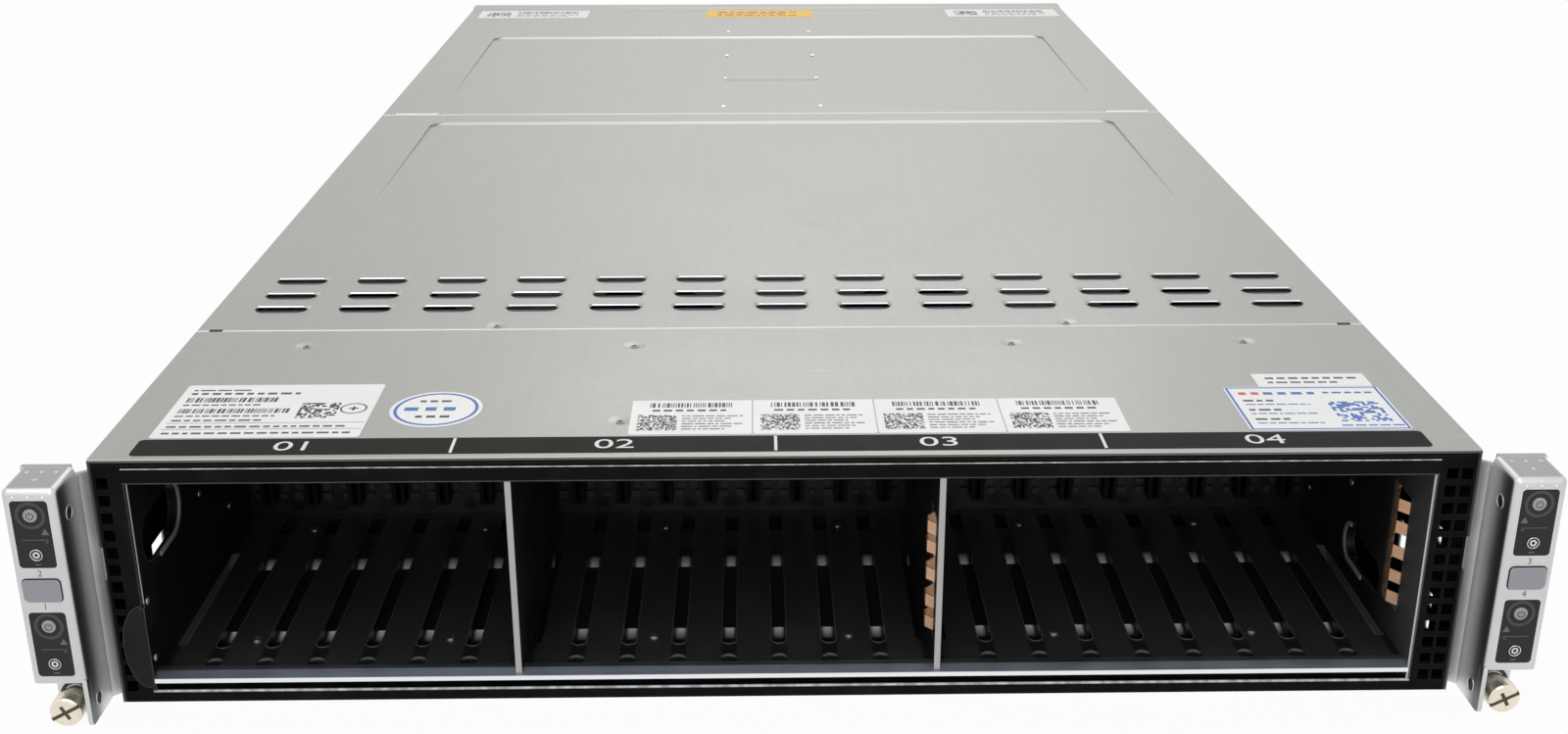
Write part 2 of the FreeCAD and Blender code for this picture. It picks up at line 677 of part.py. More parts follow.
def bay_divider(x):
    return extrude(upright(FLOOR_Z), "yz", x - DIVIDER_T / 2, x + DIVIDER_T / 2)


def right_divider():
    slot = finger_slot(RIGHT_DIVIDER - DIVIDER_T / 2, DIVIDER_T, DIVIDER_FINGER_SPAN, DIVIDER_FINGERS)
    return bay_divider(RIGHT_DIVIDER).cut(slot)


def front_sill():
    """Bare strip over the front edge of the floor: a flat seat, a slope and a short lip."""
    top, nose = FLOOR_Z + SILL_T, FRONT + EDGE_INSET - SILL_T
    line = [(FRONT + SILL_D, top), (FRONT + SILL_BEND, top), (nose, top - SILL_FALL),
            (nose, top - SILL_FALL - SILL_LIP)]
    sill = extrude(strip(line, SILL_T), "yz", CAGE_LEFT, CAGE_RIGHT)
    depth = (FRONT + EDGE_INSET, FRONT + SILL_D)
    return sill.cut([block((x - DIVIDER_T / 2, x + DIVIDER_T / 2), depth, (FLOOR_Z, top)) for x in DIVIDERS])


def finger_slot(face, depth, span, heights):
    """Slot for a contact comb through a sheet whose left face is at x."""
    y = (FRONT + span[0], FRONT + span[1] + FINGER_SPINE)
    return block((face, face + depth), y, (heights[0] - FINGER_MARGIN, heights[-1] + FINGER_MARGIN))


def finger_strip(face, depth, span, heights):
    """Contact comb in its slot: a spine at the rear end and arched fingers that stand out to the left."""
    near, far = FRONT + span[0], FRONT + span[1]
    third = (far - near) / 3
    seat, crest = face + (depth - FINGER_T) / 2, face - FINGER_BULGE
    arch = [(seat, far + FINGER_SPINE / 2), (seat, far), (crest, far - third), (crest, near + third),
            (seat, near + FIT)]
    run = (heights[0] - FINGER_MARGIN, heights[-1] + FINGER_MARGIN)
    spine = block((seat, seat + FINGER_T), (far, far + FINGER_SPINE), run)
    fingers = [extrude(strip(arch, FINGER_T), "xy", z - FINGER_H / 2, z + FINGER_H / 2) for z in heights]
    return joined([spine] + fingers)


def emi_fingers():
    wall = finger_strip(CAGE_RIGHT, CAGE_WALL, WALL_FINGER_SPAN, WALL_FINGERS)
    divider = finger_strip(RIGHT_DIVIDER - DIVIDER_T / 2, DIVIDER_T, DIVIDER_FINGER_SPAN, DIVIDER_FINGERS)
    return Part.makeCompound([wall, divider])


# Boards behind the drives
def backplane():
    board = block((CAGE_LEFT, CAGE_RIGHT), (FRONT + CAGE_D, FRONT + CAGE_D + BOARD_T), (SHEET, ROOF_Z))
    slots = []
    for x in slot_lines()[1]:
        slots.append(block((x - AIR_SLOT_W / 2, x + AIR_SLOT_W / 2),
                           (FRONT + CAGE_D, FRONT + CAGE_D + BOARD_T), AIR_SLOT_Z))
    return board.cut(slots)


def backplane_connectors():
    ports = []
    for x in slot_lines()[1]:
        body = block((x - PORT_W / 2, x + PORT_W / 2), (FRONT + CAGE_D - PORT_D, FRONT + CAGE_D), PORT_Z)
        mouth = block((x - PORT_SLOT / 2, x + PORT_SLOT / 2),
                      (FRONT + CAGE_D - PORT_D, FRONT + CAGE_D - SHEET),
                      (PORT_Z[0] + SHEET, PORT_Z[1] - SHEET))
        ports.append(body.cut(mouth))
    return Part.makeCompound(ports)


# Fans
def fan_centres():
    return [(i - (FAN_COUNT - 1) / 2) * FAN_PITCH for i in range(FAN_COUNT)]


def fan_cage():
    """Folded holder: a front wall with round mouths, a foot under the fans and a short top flange."""
    wall, top = FRONT + FAN_Y - SHEET, FAN_Z + FAN_SIZE / 2 + SHEET
    line = [(FRONT + FAN_Y + FAN_D, SHEET), (wall, SHEET), (wall, top), (FRONT + FAN_Y + FAN_D / 2, top)]
    holder = extrude(strip(line[::-1], SHEET), "yz", -FAN_CAGE_HALF, FAN_CAGE_HALF)
    mouths = [bar(FAN_BORE, (x, FAN_Z), "y", wall, FRONT + FAN_Y) for x in fan_centres()]
    return holder.cut(mouths)


def fan_frame(x):
    half = FAN_SIZE / 2
    back = FRONT + FAN_Y + FAN_D
    shell = block((x - half, x + half), (FRONT + FAN_Y, back), (FAN_Z - half, FAN_Z + half))
    shell = shell.cut(bar(FAN_BORE, (x, FAN_Z), "y", FRONT + FAN_Y, back))
    boss = bar(FAN_BOSS, (x, FAN_Z), "y", back - FAN_BOSS_T, back)
    reach, thin = FAN_BORE + FAN_STRUT / 2, FAN_STRUT / 2
    level = block((x - reach, x + reach), (back - FAN_BOSS_T, back), (FAN_Z - thin, FAN_Z + thin))
    plumb = block((x - thin, x + thin), (back - FAN_BOSS_T, back), (FAN_Z - reach, FAN_Z + reach))
    bearing = bar(FAN_SHAFT + SHAFT_GAP, (x, FAN_Z), "y", back - FAN_BOSS_T, back)
    return joined([shell, boss, level, plumb]).cut(bearing)


def fan_rotor(x):
    back = FRONT + FAN_Y + FAN_D - FAN_BOSS_T - FIT
    hub = bar(HUB_R, (x, FAN_Z), "y", back - HUB_L, back)
    shaft = bar(FAN_SHAFT, (x, FAN_Z), "y", back, FRONT + FAN_Y + FAN_D)
    blade = block((-BLADE_CHORD / 2, BLADE_CHORD / 2), (-BLADE_T / 2, BLADE_T / 2),
                  (HUB_R - BLADE_T, BLADE_TIP))
    blade.rotate(Vector(0, 0, 0), Vector(0, 0, 1), BLADE_ANGLE)
    blades = []
    for i in range(BLADES):
        turned = moved(blade, x, back - HUB_L / 2, FAN_Z)
        turned.rotate(Vector(x, 0, FAN_Z), Vector(0, 1, 0), i * 360 / BLADES)
        blades.append(turned)
    return joined([hub, shaft] + blades)


# Midplane, centre tunnel and shelves
def midplane():
    y = (FRONT + MIDPLANE_Y, FRONT + MIDPLANE_Y + BOARD_T)
    board = block((-INNER, INNER), y, (SHEET, DECK - MIDPLANE_DROP))
    wide, high, deep = MIDPLANE_PORT
    windows, ports = [], []
    for x in sled_lefts():
        for floor in sled_floors():
            centre = x + SLED_W / 2
            low = floor + SLED_BOARD_T + STANDOFF + SHEET
            span = (centre - wide / 2, centre + wide / 2)
            ports.append(block(span, (y[1], y[1] + deep), (low, low + high)))
            for side in (-1, 1):
                middle = centre + side * (wide + MIDPLANE_WINDOW[0]) / 2
                half = MIDPLANE_WINDOW[0] / 2 - SHEET
                windows.append(block((middle - half, middle + half), y, (low, low + MIDPLANE_WINDOW[1])))
    return Part.makeCompound([board.cut(windows)] + ports)


def psu_bay():
    wall = block((-TUNNEL - SHEET, -TUNNEL), (FRONT + BAY_Y, REAR), (SHEET, HEAD))
    shelf = block((-TUNNEL, TUNNEL), (REAR - PSU_L, REAR), (SHELF_Z, SHELF_Z + SHEET))
    return joined([wall, mirrored(wall), shelf])


def node_shelves():
    left = block((-INNER, -TUNNEL - SHEET), (FRONT + SLED_Y, REAR - SHEET), (SHELF_Z, SHELF_Z + SHEET))
    return Part.makeCompound([left, mirrored(left)])


def power_board():
    wide, high, deep = POWER_PORT
    end, top = FRONT + POWER_BOARD_END, SHELF_Z + BOARD_T
    board = block((-TUNNEL, TUNNEL), (FRONT + BAY_Y, end), (SHELF_Z, top))
    ports = [block((-wide / 2, wide / 2), (end - deep, end), z)
             for z in ((SHELF_Z - high, SHELF_Z), (top, top + high))]
    return Part.makeCompound([board] + ports)


# Latch and its lugs, drawn with the pivot at the origin and the panel KNUCKLE_OUT ahead of it
def latch():
    knuckle = bar(KNUCKLE_R, (0, 0), "z", 0, LATCH_H)
    arm = [(-LATCH_T / 2, 0), (LATCH_T / 2, 0), (LATCH_T / 2, LATCH_ARM), (-LATCH_PAD, LATCH_ARM),
           (-LATCH_PAD, LATCH_ARM - LATCH_T), (-LATCH_T / 2, LATCH_ARM - LATCH_T)]
    lever = joined([knuckle, extrude(arm, "xy", 0, LATCH_H)])
    return lever.cut(bar(PIN_R + SHAFT_GAP, (0, 0), "z", 0, LATCH_H))


def latch_lugs():
    """Two lugs that carry the latch pin, one below and one above the latch."""
    half = KNUCKLE_R
    outline = [(-half, -KNUCKLE_OUT), (half, -KNUCKLE_OUT), (half, half / 2), (half / 2, half),
               (-half / 2, half), (-half, half / 2)]
    low = extrude(outline, "xy", -FIT - LUG_T, -FIT)
    high = extrude(outline, "xy", LATCH_H + FIT, LATCH_H + FIT + LUG_T)
    pin = bar(PIN_R, (0, 0), "z", -FIT - LUG_T, LATCH_H + FIT + LUG_T)
    return joined([low, high, pin])


def pull_handle(x, width, z):
    """Bent strip handle on a rear panel."""
    line = [(x - width / 2, REAR), (x - width / 2, REAR + HANDLE_REACH), (x + width / 2, REAR + HANDLE_REACH),
            (x + width / 2, REAR)]
    return extrude(strip(line[::-1], HANDLE_T), "xy", z - HANDLE_H / 2, z + HANDLE_H / 2)


# Node sleds, drawn at the left lower corner of their bay
def sled_lefts():
    return (-INNER + FIT, TUNNEL + SHEET + FIT)


def sled_floors():
    return (SHEET + FIT, SHELF_Z + SHEET + FIT)


def board_span():
    return (FRONT + SLED_Y + BOARD_MARGIN, REAR - SHEET - BOARD_MARGIN)


def port_places():
    """Start, width and height of each rear port, spread evenly between the panel's edge and the latch."""
    room = LATCH_X - IO_LATCH_GAP - IO_START - sum(wide for wide, high in IO_PORTS)
    gap = room / (len(IO_PORTS) - 1)
    x, places = IO_START, []
    for wide, high in IO_PORTS:
        places.append((x, wide, high))
        x += wide + gap
    return places


def sled_tray():
    section = [(0, SLED_WALL_H), (0, 0), (SLED_W, 0), (SLED_W, SLED_WALL_H)]
    pan = extrude(strip(section, SHEET), "xz", FRONT + SLED_Y, REAR)
    panel = block((0, SLED_W), (REAR - SHEET, REAR), (0, SLED_H - FIT))
    near, far = board_span()
    posts, half = [], STANDOFF_W / 2
    for x in (BOARD_MARGIN + STANDOFF_W, SLED_W - BOARD_MARGIN - STANDOFF_W):
        for y in (near + STANDOFF_W, (near + far) / 2, far - STANDOFF_W):
            posts.append(block((x - half, x + half), (y - half, y + half), (SHEET, SLED_BOARD_Z)))
    holes = []
    for x, wide, high in port_places():
        low = SLED_BOARD_Z + SLED_BOARD_T
        holes.append(block((x - IO_FIT, x + wide + IO_FIT), (REAR - SHEET, REAR),
                           (low - IO_FIT, low + high + IO_FIT)))
    top = SLED_H - 2 * SHEET
    for i in range(SLED_VENT_COUNT):
        x = SLED_VENT_START + i * SLED_VENT_PITCH
        holes.append(block((x, x + SLED_VENT_W), (REAR - SHEET, REAR), (top - SLED_VENT_H, top)))
    lugs = moved(latch_lugs(), LATCH_X, REAR + KNUCKLE_OUT, LATCH_Z)
    handle = pull_handle(HANDLE_X, HANDLE_W, SLED_H / 2)
    return joined([pan, panel, lugs, handle] + posts).cut(holes)


def sled_board():
    near, far = board_span()
    top = SLED_BOARD_Z + SLED_BOARD_T
    pieces = [block((BOARD_MARGIN, SLED_W - BOARD_MARGIN), (near, far), (SLED_BOARD_Z, top))]
    for x, wide, high in port_places():
        shell = block((x, x + wide), (far - IO_PORT_D, REAR + IO_PROUD), (top, top + high))
        mouth = block((x + SHEET, x + wide - SHEET), (REAR + IO_PROUD - IO_PORT_D / 2, REAR + IO_PROUD),
                      (top + SHEET, top + high - SHEET))
        pieces.append(shell.cut(mouth))
    for setback in SINK_SETBACK:
        for side in (-1, 1):
            for i in range(DIMM_COUNT):
                x = SLED_W / 2 + side * (SINK_W / 2 + DIMM_PITCH * (i + 0.75))
                y = FRONT + SLED_Y + setback + (SINK_L - DIMM_L) / 2
                pieces.append(block((x - DIMM_T / 2, x + DIMM_T / 2), (y, y + DIMM_L), (top, top + DIMM_H)))
    return Part.makeCompound(pieces)


def sled_heatsinks():
    """Two finned coolers, each a comb profile drawn across the air flow."""
    low = SLED_BOARD_Z + SLED_BOARD_T
    high = SLED_H - SINK_TOP_GAP
    left = (SLED_W - SINK_W) / 2
    pitch = (SINK_W - SINK_FIN_T) / (SINK_FINS - 1)
    comb = [(left, low), (left + SINK_W, low)]
    for i in reversed(range(SINK_FINS)):
        x = left + i * pitch
        comb += [(x + SINK_FIN_T, high), (x, high)]
        if i:
            comb += [(x, low + SINK_BASE), (x - pitch + SINK_FIN_T, low + SINK_BASE)]
    starts = [FRONT + SLED_Y + setback for setback in SINK_SETBACK]
    return Part.makeCompound([extrude(comb, "xz", y, y + SINK_L) for y in starts])


def sled_latch():
    return moved(latch(), LATCH_X, REAR + KNUCKLE_OUT, LATCH_Z)


# Power supplies, drawn at the left lower corner of their bay
def psu():
    case = block((0, PSU_W), (REAR - PSU_L, REAR), (0, PSU_H))
    inside = block((PSU_WALL, PSU_W - PSU_WALL), (REAR - PSU_L, REAR - PSU_WALL),
                   (PSU_WALL, PSU_H - PSU_WALL))
    wide, high = INLET
    x, z = (INLET_X - wide / 2, INLET_X + wide / 2), ((PSU_H - high) / 2, (PSU_H + high) / 2)
    well = block((x[0] - PSU_WALL, x[1] + PSU_WALL), (REAR - INLET_DEPTH - PSU_WALL, REAR),
                 (z[0] - PSU_WALL, z[1] + PSU_WALL))
    socket = rounded(x, z, INLET_ROUND, "xz", REAR - INLET_DEPTH, REAR)
    pins = []
    for i in (-1, 0, 1):
        px, pz = INLET_X + i * INLET_PIN_PITCH, PSU_H / 2 + (1 - 2 * abs(i)) * INLET_PIN_DROP
        pins.append(block((px - INLET_PIN[0] / 2, px + INLET_PIN[0] / 2),
                          (REAR - INLET_DEPTH - PSU_WALL, REAR - INLET_PIN_SHY),
                          (pz - INLET_PIN[1] / 2, pz + INLET_PIN[1] / 2)))
    holes = []
    for c in range(PSU_VENT_COLUMNS):
        for r in range(PSU_VENT_ROWS):
            hx = PSU_VENT_X + c * PSU_VENT_PITCH
            hz = PSU_H / 2 + (r - (PSU_VENT_ROWS - 1) / 2) * PSU_VENT_PITCH
            holes.append(block((hx - PSU_VENT / 2, hx + PSU_VENT / 2), (REAR - PSU_WALL, REAR),
                               (hz - PSU_VENT / 2, hz + PSU_VENT / 2)))
    lugs = moved(latch_lugs(), PSU_LATCH_X, REAR + KNUCKLE_OUT, LATCH_Z)
    handle = pull_handle(PSU_HANDLE_X, PSU_HANDLE_W, PSU_H / 2)
    shell = case.cut(inside)
    return joined([joined([shell, well]).cut([socket] + holes), lugs, handle] + pins)


def psu_latch():
    return moved(latch(), PSU_LATCH_X, REAR + KNUCKLE_OUT, LATCH_Z)


# Left ear; the right one is its mirror image
def panel_windows(start, end):
    x = (-PANEL_X - PANEL_W / 2, -PANEL_X + PANEL_W / 2)
    return [rounded(x, (z, z + PANEL_H), PANEL_ROUND, "xz", start, end) for z in PANEL_STARTS]


def ear():
    back = -EAR_BACK
    shell = block((-EAR_OUT, -EAR_IN), (EAR_FACE, back), (EAR_BOX_Z, EAR_TOP))
    edges = []
    for edge in shell.Edges:
        middle = edge.CenterOfMass
        front_edge = abs(middle.y - EAR_FACE) < 1e-6 and abs(middle.z - EAR_BOX_Z) > 1e-6
        top_edge = abs(middle.z - EAR_TOP) < 1e-6 and abs(direction(edge).y) > 0.99
        if front_edge or top_edge:
            edges.append(edge)
    shell = shell.makeFillet(EAR_ROUND, edges)
    hollow = block((EAR_WALL - EAR_OUT, -EAR_WALL - EAR_IN), (EAR_FACE + EAR_WALL, back),
                   (EAR_BOX_Z + EAR_WALL, EAR_TOP - EAR_WALL))
    run = [(-EAR_IN, EAR_FACE), (-EAR_IN, 0), (-SIDE, JOGGLE), (-SIDE, FRONT + EAR_TAIL)]
    wall = extrude(strip(run, EAR_WALL), "xy", EAR_BASE, EAR_TOP - EAR_SIDE_DROP)
    front = EAR_FACE + EAR_SIDE_SETBACK
    outline = [(FRONT + EAR_TAIL, EAR_BASE), (front + EAR_CORNER, EAR_BASE), (front, EAR_BASE + EAR_CORNER),
               (front, EAR_TOP - EAR_SIDE_DROP), (FRONT + EAR_TAIL, EAR_TOP - EAR_SIDE_DROP)]
    wall = wall.common(extrude(outline, "yz", -EAR_OUT, -SIDE))
    flange = block((-EAR_OUT, -EAR_IN), (back, 0), (EAR_BASE, EAR_BOX_Z + EAR_WALL))
    hole = bar(SCREW_SHANK_R + SHAFT_GAP, (-RACK_HOLE_X, RACK_HOLE_Z), "y", back, 0)
    windows = panel_windows(EAR_FACE, EAR_FACE + EAR_WALL)
    return joined([shell.cut(hollow), wall, flange]).cut(windows + [hole])


def ear_back():
    return block((-EAR_OUT, -EAR_WALL - EAR_IN), (-EAR_BACK, 0), (EAR_BOX_Z + EAR_WALL, EAR_TOP))


def panel_buttons(z):
    """Radius and height of the power button and the locate button of the panel that starts at z."""
    return ((POWER_R, z + PANEL_H - POWER_DOWN), (UID_R, z + UID_UP))


def control_panels():
    rim_start = EAR_FACE + EAR_WALL
    plates = []
    fronts = panel_windows(EAR_FACE, rim_start)
    x = (-PANEL_X - PANEL_W / 2 - PANEL_RIM, -PANEL_X + PANEL_W / 2 + PANEL_RIM)
    for front, z in zip(fronts, PANEL_STARTS):
        rim = block(x, (rim_start, rim_start + PANEL_RIM), (z - PANEL_RIM, z + PANEL_H + PANEL_RIM))
        holes = [bar(r + BUTTON_FIT, (-PANEL_X, height), "y", EAR_FACE, rim_start + PANEL_RIM)
                 for r, height in panel_buttons(z)]
        plates.append(joined([front, rim]).cut(holes))
    return plates


def button(radius, height):
    rim_back = EAR_FACE + EAR_WALL + PANEL_RIM
    cap = bar(radius, (-PANEL_X, height), "y", EAR_FACE - BUTTON_PROUD, EAR_FACE - BUTTON_PROUD + BUTTON_L)
    flange = bar(radius + BUTTON_FLANGE, (-PANEL_X, height), "y", rim_back, rim_back + BUTTON_FLANGE_T)
    return joined([cap, flange])


def name_plate():
    x = (-PANEL_X - PANEL_W / 2, -PANEL_X + PANEL_W / 2)
    return rounded(x, (PLATE_Z, PLATE_Z + PLATE_H), PANEL_ROUND, "xz", EAR_FACE - PLATE_T, EAR_FACE)


def thumbscrew():
    centre = (-RACK_HOLE_X, RACK_HOLE_Z)
    head_end = EAR_FACE + SCREW_HEAD_L
    head = bar(SCREW_HEAD_R, centre, "y", EAR_FACE, head_end)
    neck = bar(SCREW_NECK_R, centre, "y", head_end, -EAR_BACK - FIT)
    shank = bar(SCREW_SHANK_R, centre, "y", -EAR_BACK - FIT, SCREW_THREAD_GAP)
    stud = bar(SCREW_R, centre, "y", SCREW_THREAD_GAP, SCREW_REACH)
    half, cross = SCREW_HEAD_R, SCREW_HEAD_R / 2
    depth = (EAR_FACE, EAR_FACE + SCREW_SLOT_D)
    slot = block((centre[0] - half, centre[0] + half), depth,
                 (centre[1] - SCREW_SLOT_W / 2, centre[1] + SCREW_SLOT_W / 2))
    other = block((centre[0] - SCREW_SLOT_W / 2, centre[0] + SCREW_SLOT_W / 2), depth,
                  (centre[1] - cross, centre[1] + cross))
    for cut in (slot, other):
        cut.rotate(Vector(centre[0], 0, centre[1]), Vector(0, 1, 0), SCREW_TURN)
    return joined([head, neck, shank, stud]).cut([slot, other])


def both(shapes):
    return Part.makeCompound(shapes + [mirrored(s) for s in shapes])


def assembly():
    parts = {
        "chassis_base": chassis_base(),
        "front_top_panel": front_top_panel(),
        "middle_cover": middle_cover(),
        "rear_cover": rear_cover(),
        "front_frame": front_frame(),
        "cage_floor": cage_floor(),
        "cage_roof": cage_roof(),
        "cage_left_wall": cage_left_wall(),
        "cage_right_wall": cage_right_wall(),
        "bay_divider_left": bay_divider(DIVIDERS[0]),
        "bay_divider_right": right_divider(),
        "front_sill": front_sill(),
        "emi_fingers": emi_fingers(),
        "backplane": backplane(),
        "backplane_connectors": backplane_connectors(),
        "fan_cage": fan_cage(),
        "fan_frames": Part.makeCompound([fan_frame(x) for x in fan_centres()]),
        "midplane": midplane(),
        "psu_bay": psu_bay(),
        "node_shelves": node_shelves(),
        "power_board": power_board(),
        "left_ear": ear(),
        "right_ear": mirrored(ear()),
        "ear_backs": both([ear_back()]),
        "name_plates": both([name_plate()]),
        "control_panels": both(control_panels()),
        "left_thumbscrew": thumbscrew(),
        "right_thumbscrew": moved(thumbscrew(), 2 * RACK_HOLE_X, 0, 0),
    }
    for i, x in enumerate(fan_centres()):
        parts[f"fan_rotor_{i + 1}"] = fan_rotor(x)
    for i, z in enumerate(PANEL_STARTS):
        for kind, (radius, height) in zip(("power_button", "uid_button"), panel_buttons(z)):
            parts[f"{kind}_{i + 1}"] = button(radius, height)
            parts[f"{kind}_{4 - i}"] = mirrored(button(radius, height))
    pieces = {"tray": sled_tray(), "board": sled_board(), "heatsinks": sled_heatsinks(),
              "latch": sled_latch()}
    bays = [(sled_lefts()[0], 0), (sled_lefts()[0], 1), (sled_lefts()[1], 1), (sled_lefts()[1], 0)]
    for i, (x, level) in enumerate(bays):
        for name, piece in pieces.items():
            parts[f"sled_{name}_{i + 1}"] = moved(piece, x, 0, sled_floors()[level])
    for i, z in enumerate(sled_floors()):
        parts[f"psu_{i + 1}"] = moved(psu(), -PSU_W / 2, 0, z)
        parts[f"psu_latch_{i + 1}"] = moved(psu_latch(), -PSU_W / 2, 0, z)
    return parts


def main():
    os.makedirs("parts", exist_ok=True)
    for name, shape in assembly().items():
        shape.exportStep(f"parts/{name}.step")


main()
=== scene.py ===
import bmesh
import bpy
import json
import math
import random
from collections import defaultdict, namedtuple
from functools import reduce
from mathutils import Matrix, Vector

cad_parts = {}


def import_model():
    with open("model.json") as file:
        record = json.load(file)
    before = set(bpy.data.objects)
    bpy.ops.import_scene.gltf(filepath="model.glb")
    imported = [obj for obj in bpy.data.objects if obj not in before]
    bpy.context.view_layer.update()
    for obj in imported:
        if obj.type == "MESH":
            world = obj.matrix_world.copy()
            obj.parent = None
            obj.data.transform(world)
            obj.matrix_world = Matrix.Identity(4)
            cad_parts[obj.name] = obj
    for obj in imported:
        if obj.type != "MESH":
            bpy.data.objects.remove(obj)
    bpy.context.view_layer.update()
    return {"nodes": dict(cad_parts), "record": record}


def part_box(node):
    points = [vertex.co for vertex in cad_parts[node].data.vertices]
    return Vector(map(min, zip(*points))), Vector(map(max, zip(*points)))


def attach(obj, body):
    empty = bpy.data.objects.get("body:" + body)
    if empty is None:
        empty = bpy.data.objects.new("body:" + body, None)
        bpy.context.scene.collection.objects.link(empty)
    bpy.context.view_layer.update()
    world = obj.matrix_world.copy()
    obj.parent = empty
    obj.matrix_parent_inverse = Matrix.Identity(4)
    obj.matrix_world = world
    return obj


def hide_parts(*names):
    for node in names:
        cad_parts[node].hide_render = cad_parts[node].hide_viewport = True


# Looks of a two-unit rack server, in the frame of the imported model. Sizes and places are written in millimetres, and
# the helpers turn them into metres. Places on the top sheet count from the centre line and the front face.
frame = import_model()
nodes = frame["nodes"]
MM = 0.001
Corner = namedtuple("Corner", "x y z")


def box(node):
    """Lowest and highest corner of a node at rest."""
    return [Corner(*(c / MM for c in corner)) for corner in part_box(node)]


FACE_Y = box("front_top_panel")[0].y
TOP_Z = box("front_top_panel")[1].z
REAR_Y = box("chassis_base")[1].y
SIDE_X = box("chassis_base")[1].x
EAR_FACE = box("control_panels")[0].y
EAR_TOP = box("left_ear")[1].z
FLOOR_Z = box("cage_floor")[1].z
CAGE_LEFT, CAGE_RIGHT = (corner.x for corner in box("cage_floor"))
CAGE_MIDDLE = (CAGE_LEFT + CAGE_RIGHT) / 2
CAGE_HALF = (CAGE_RIGHT - CAGE_LEFT) / 2
BACKPLANE_Y = box("backplane")[0].y

# Camera of the photograph, in metres; the focal length is in pixels of its width
CAMERA_AT = (-0.0100, -0.5089, 0.3133)
CAMERA_RIGHT = (0.99986, -0.01699, -0.00045)
CAMERA_UP = (0.00655, 0.36113, 0.93249)
CAMERA_FORWARD = (0.01568, 0.93236, -0.36119)
FOCAL_PX = 1793.9
PHOTO_W = 1600
SENSOR = 36.0

# Thin layers
PAPER = 0.15
INK = 0.03
PRINT = 0.04

# Left and right end and drive slots of each bay, and the drive guides from the front face
left, right = box("bay_divider_left"), box("bay_divider_right")
BAYS = ((CAGE_LEFT, left[0].x, 7), (left[1].x, right[0].x, 8), (right[1].x, CAGE_RIGHT, 9))
GUIDE_W = 4.7
GUIDE_START = 18.0
GUIDE_RAMPS = ((27.0, 35.0), (81.0, 89.0))
GUIDE_DIP = 1.6
GUIDE_DEPTH = 3.4
TONGUE_TOP = 36.5

# Top sheets
SMEAR_AT = (46.0, 242.0)
SMEAR_REACH = 75.0
SHEET_ROUGH = 0.44
REAR_HEM = 20.0
STRIP_X = (-208.0, 205.5)
STRIP_Y = (3.2, 15.6)
STRIP_TICKS = (-107.0, -4.0, 101.0)
NODE_LABEL_EDGES = (-52.0, -11.4, 29.4, 71.3, 111.8)
REAR_LABEL_Y = (785, 815)
SCREW_R = 1.5
SCREW_SINK = -0.22
PIP_R = 1.3
PIP_H = 0.6
SEAM_Y = 476.7

# Ears
EAR_GAP = 4.3
EAR_IN = SIDE_X + EAR_GAP
PANEL_X = 233.0
PANEL_ROUND = 1.3
PANEL_Z = (19.6, 58.2)
PANEL_H = 23.0
NUMBER_Z = (44.6, 56.2)
PLATE_GAP = 0.35
POWER_DOWN = 5.0
LOCATE_UP = 4.6
POWER_R = 2.2
LOCATE_R = 2.0
BUTTON_L = 4.0
EAR_DOTS = (-4.6, 0.0, 4.6)
EAR_DOT_Z = 82.0
EAR_HOLE_R = 2.0
EAR_HOLE_Y = -8.0
EAR_HOLE_Z = (73.5, 7.0)
KNURLS = 144
THREAD_START = 19.6
THREAD_PITCH = 0.8
SLOT_HALF = 0.6
SLOT_TURN = math.radians(28)

# Rear ports of a sled, from its left side: start, width and height
PORTS = ((10.0, 16.0, 13.5), (31.625, 14.0, 14.5), (51.25, 31.0, 12.5), (87.875, 16.0, 13.5), (109.5, 16.0, 13.5))
PORT_SKIN = 1.0
PORT_DEPTH = 9.0
SOCKET_DEPTH = 8.6
CONTACT_PITCH = 1.05
BOARD_T = 1.6
PAD_INSET = 0.6
PAD_W = 6.0

# Mains inlets
INLET_X = 54.0
INLET_HALF = (14.5, 11.0)
INLET_WALL = 0.9
INLET_DEPTH = 16.0
INLET_ROUND = 3.6
PIN_PITCH = 7.2
PIN_DROP = 2.2

# Directions of the frame
FRONT, BACK, UP, ACROSS = (0, -1, 0), (0, 1, 0), (0, 0, 1), (1, 0, 0)

# Colours that several finishes share
ZINC = (0.375, 0.377, 0.358)
# Pale metal of cuts and scratches, also used for painted highlights and painted reflections
CUT_AND_HIGHLIGHT = (0.93, 0.93, 0.92)
BLACK = (0.008, 0.008, 0.009)
STEEL = (0.42, 0.44, 0.47)
SILVER = (0.61, 0.61, 0.615)
GREEN = (0.018, 0.075, 0.040)
MOULDED = (0.016, 0.016, 0.018)

# Fineness of the lines in drawn metals
ROLLED = (16, 900, 900)
TURNED = (400, 400, 400)


# Places
def point(x, y, z):
    return Vector((x * MM, y * MM, z * MM))


def on_top(x, y, z):
    """Point from the centre line, the front face and the top sheet."""
    return point(x, FACE_Y + y, TOP_Z + z)


def upright(x, y, z):
    """Place on an upright face that looks forward: across, up and out."""
    return lambda u, v, h: point(x + u, y - h, z + v)


def backward(x, y, z):
    """Place on an upright face that looks to the rear: across, up and out."""
    return lambda u, v, h: point(x + u, y + h, z + v)


def level(x, y, z):
    """Place on a level face: across, to the rear and up."""
    return lambda u, v, h: point(x + u, y + v, z + h)


def sideways(x, y, z, side):
    """Place on a face that looks to one side: to the rear, up and out."""
    return lambda u, v, h: point(x + side * h, y + u, z + v)


# Node trees
def scaled(colour, factor):
    return tuple(min(1, c * factor) for c in colour)


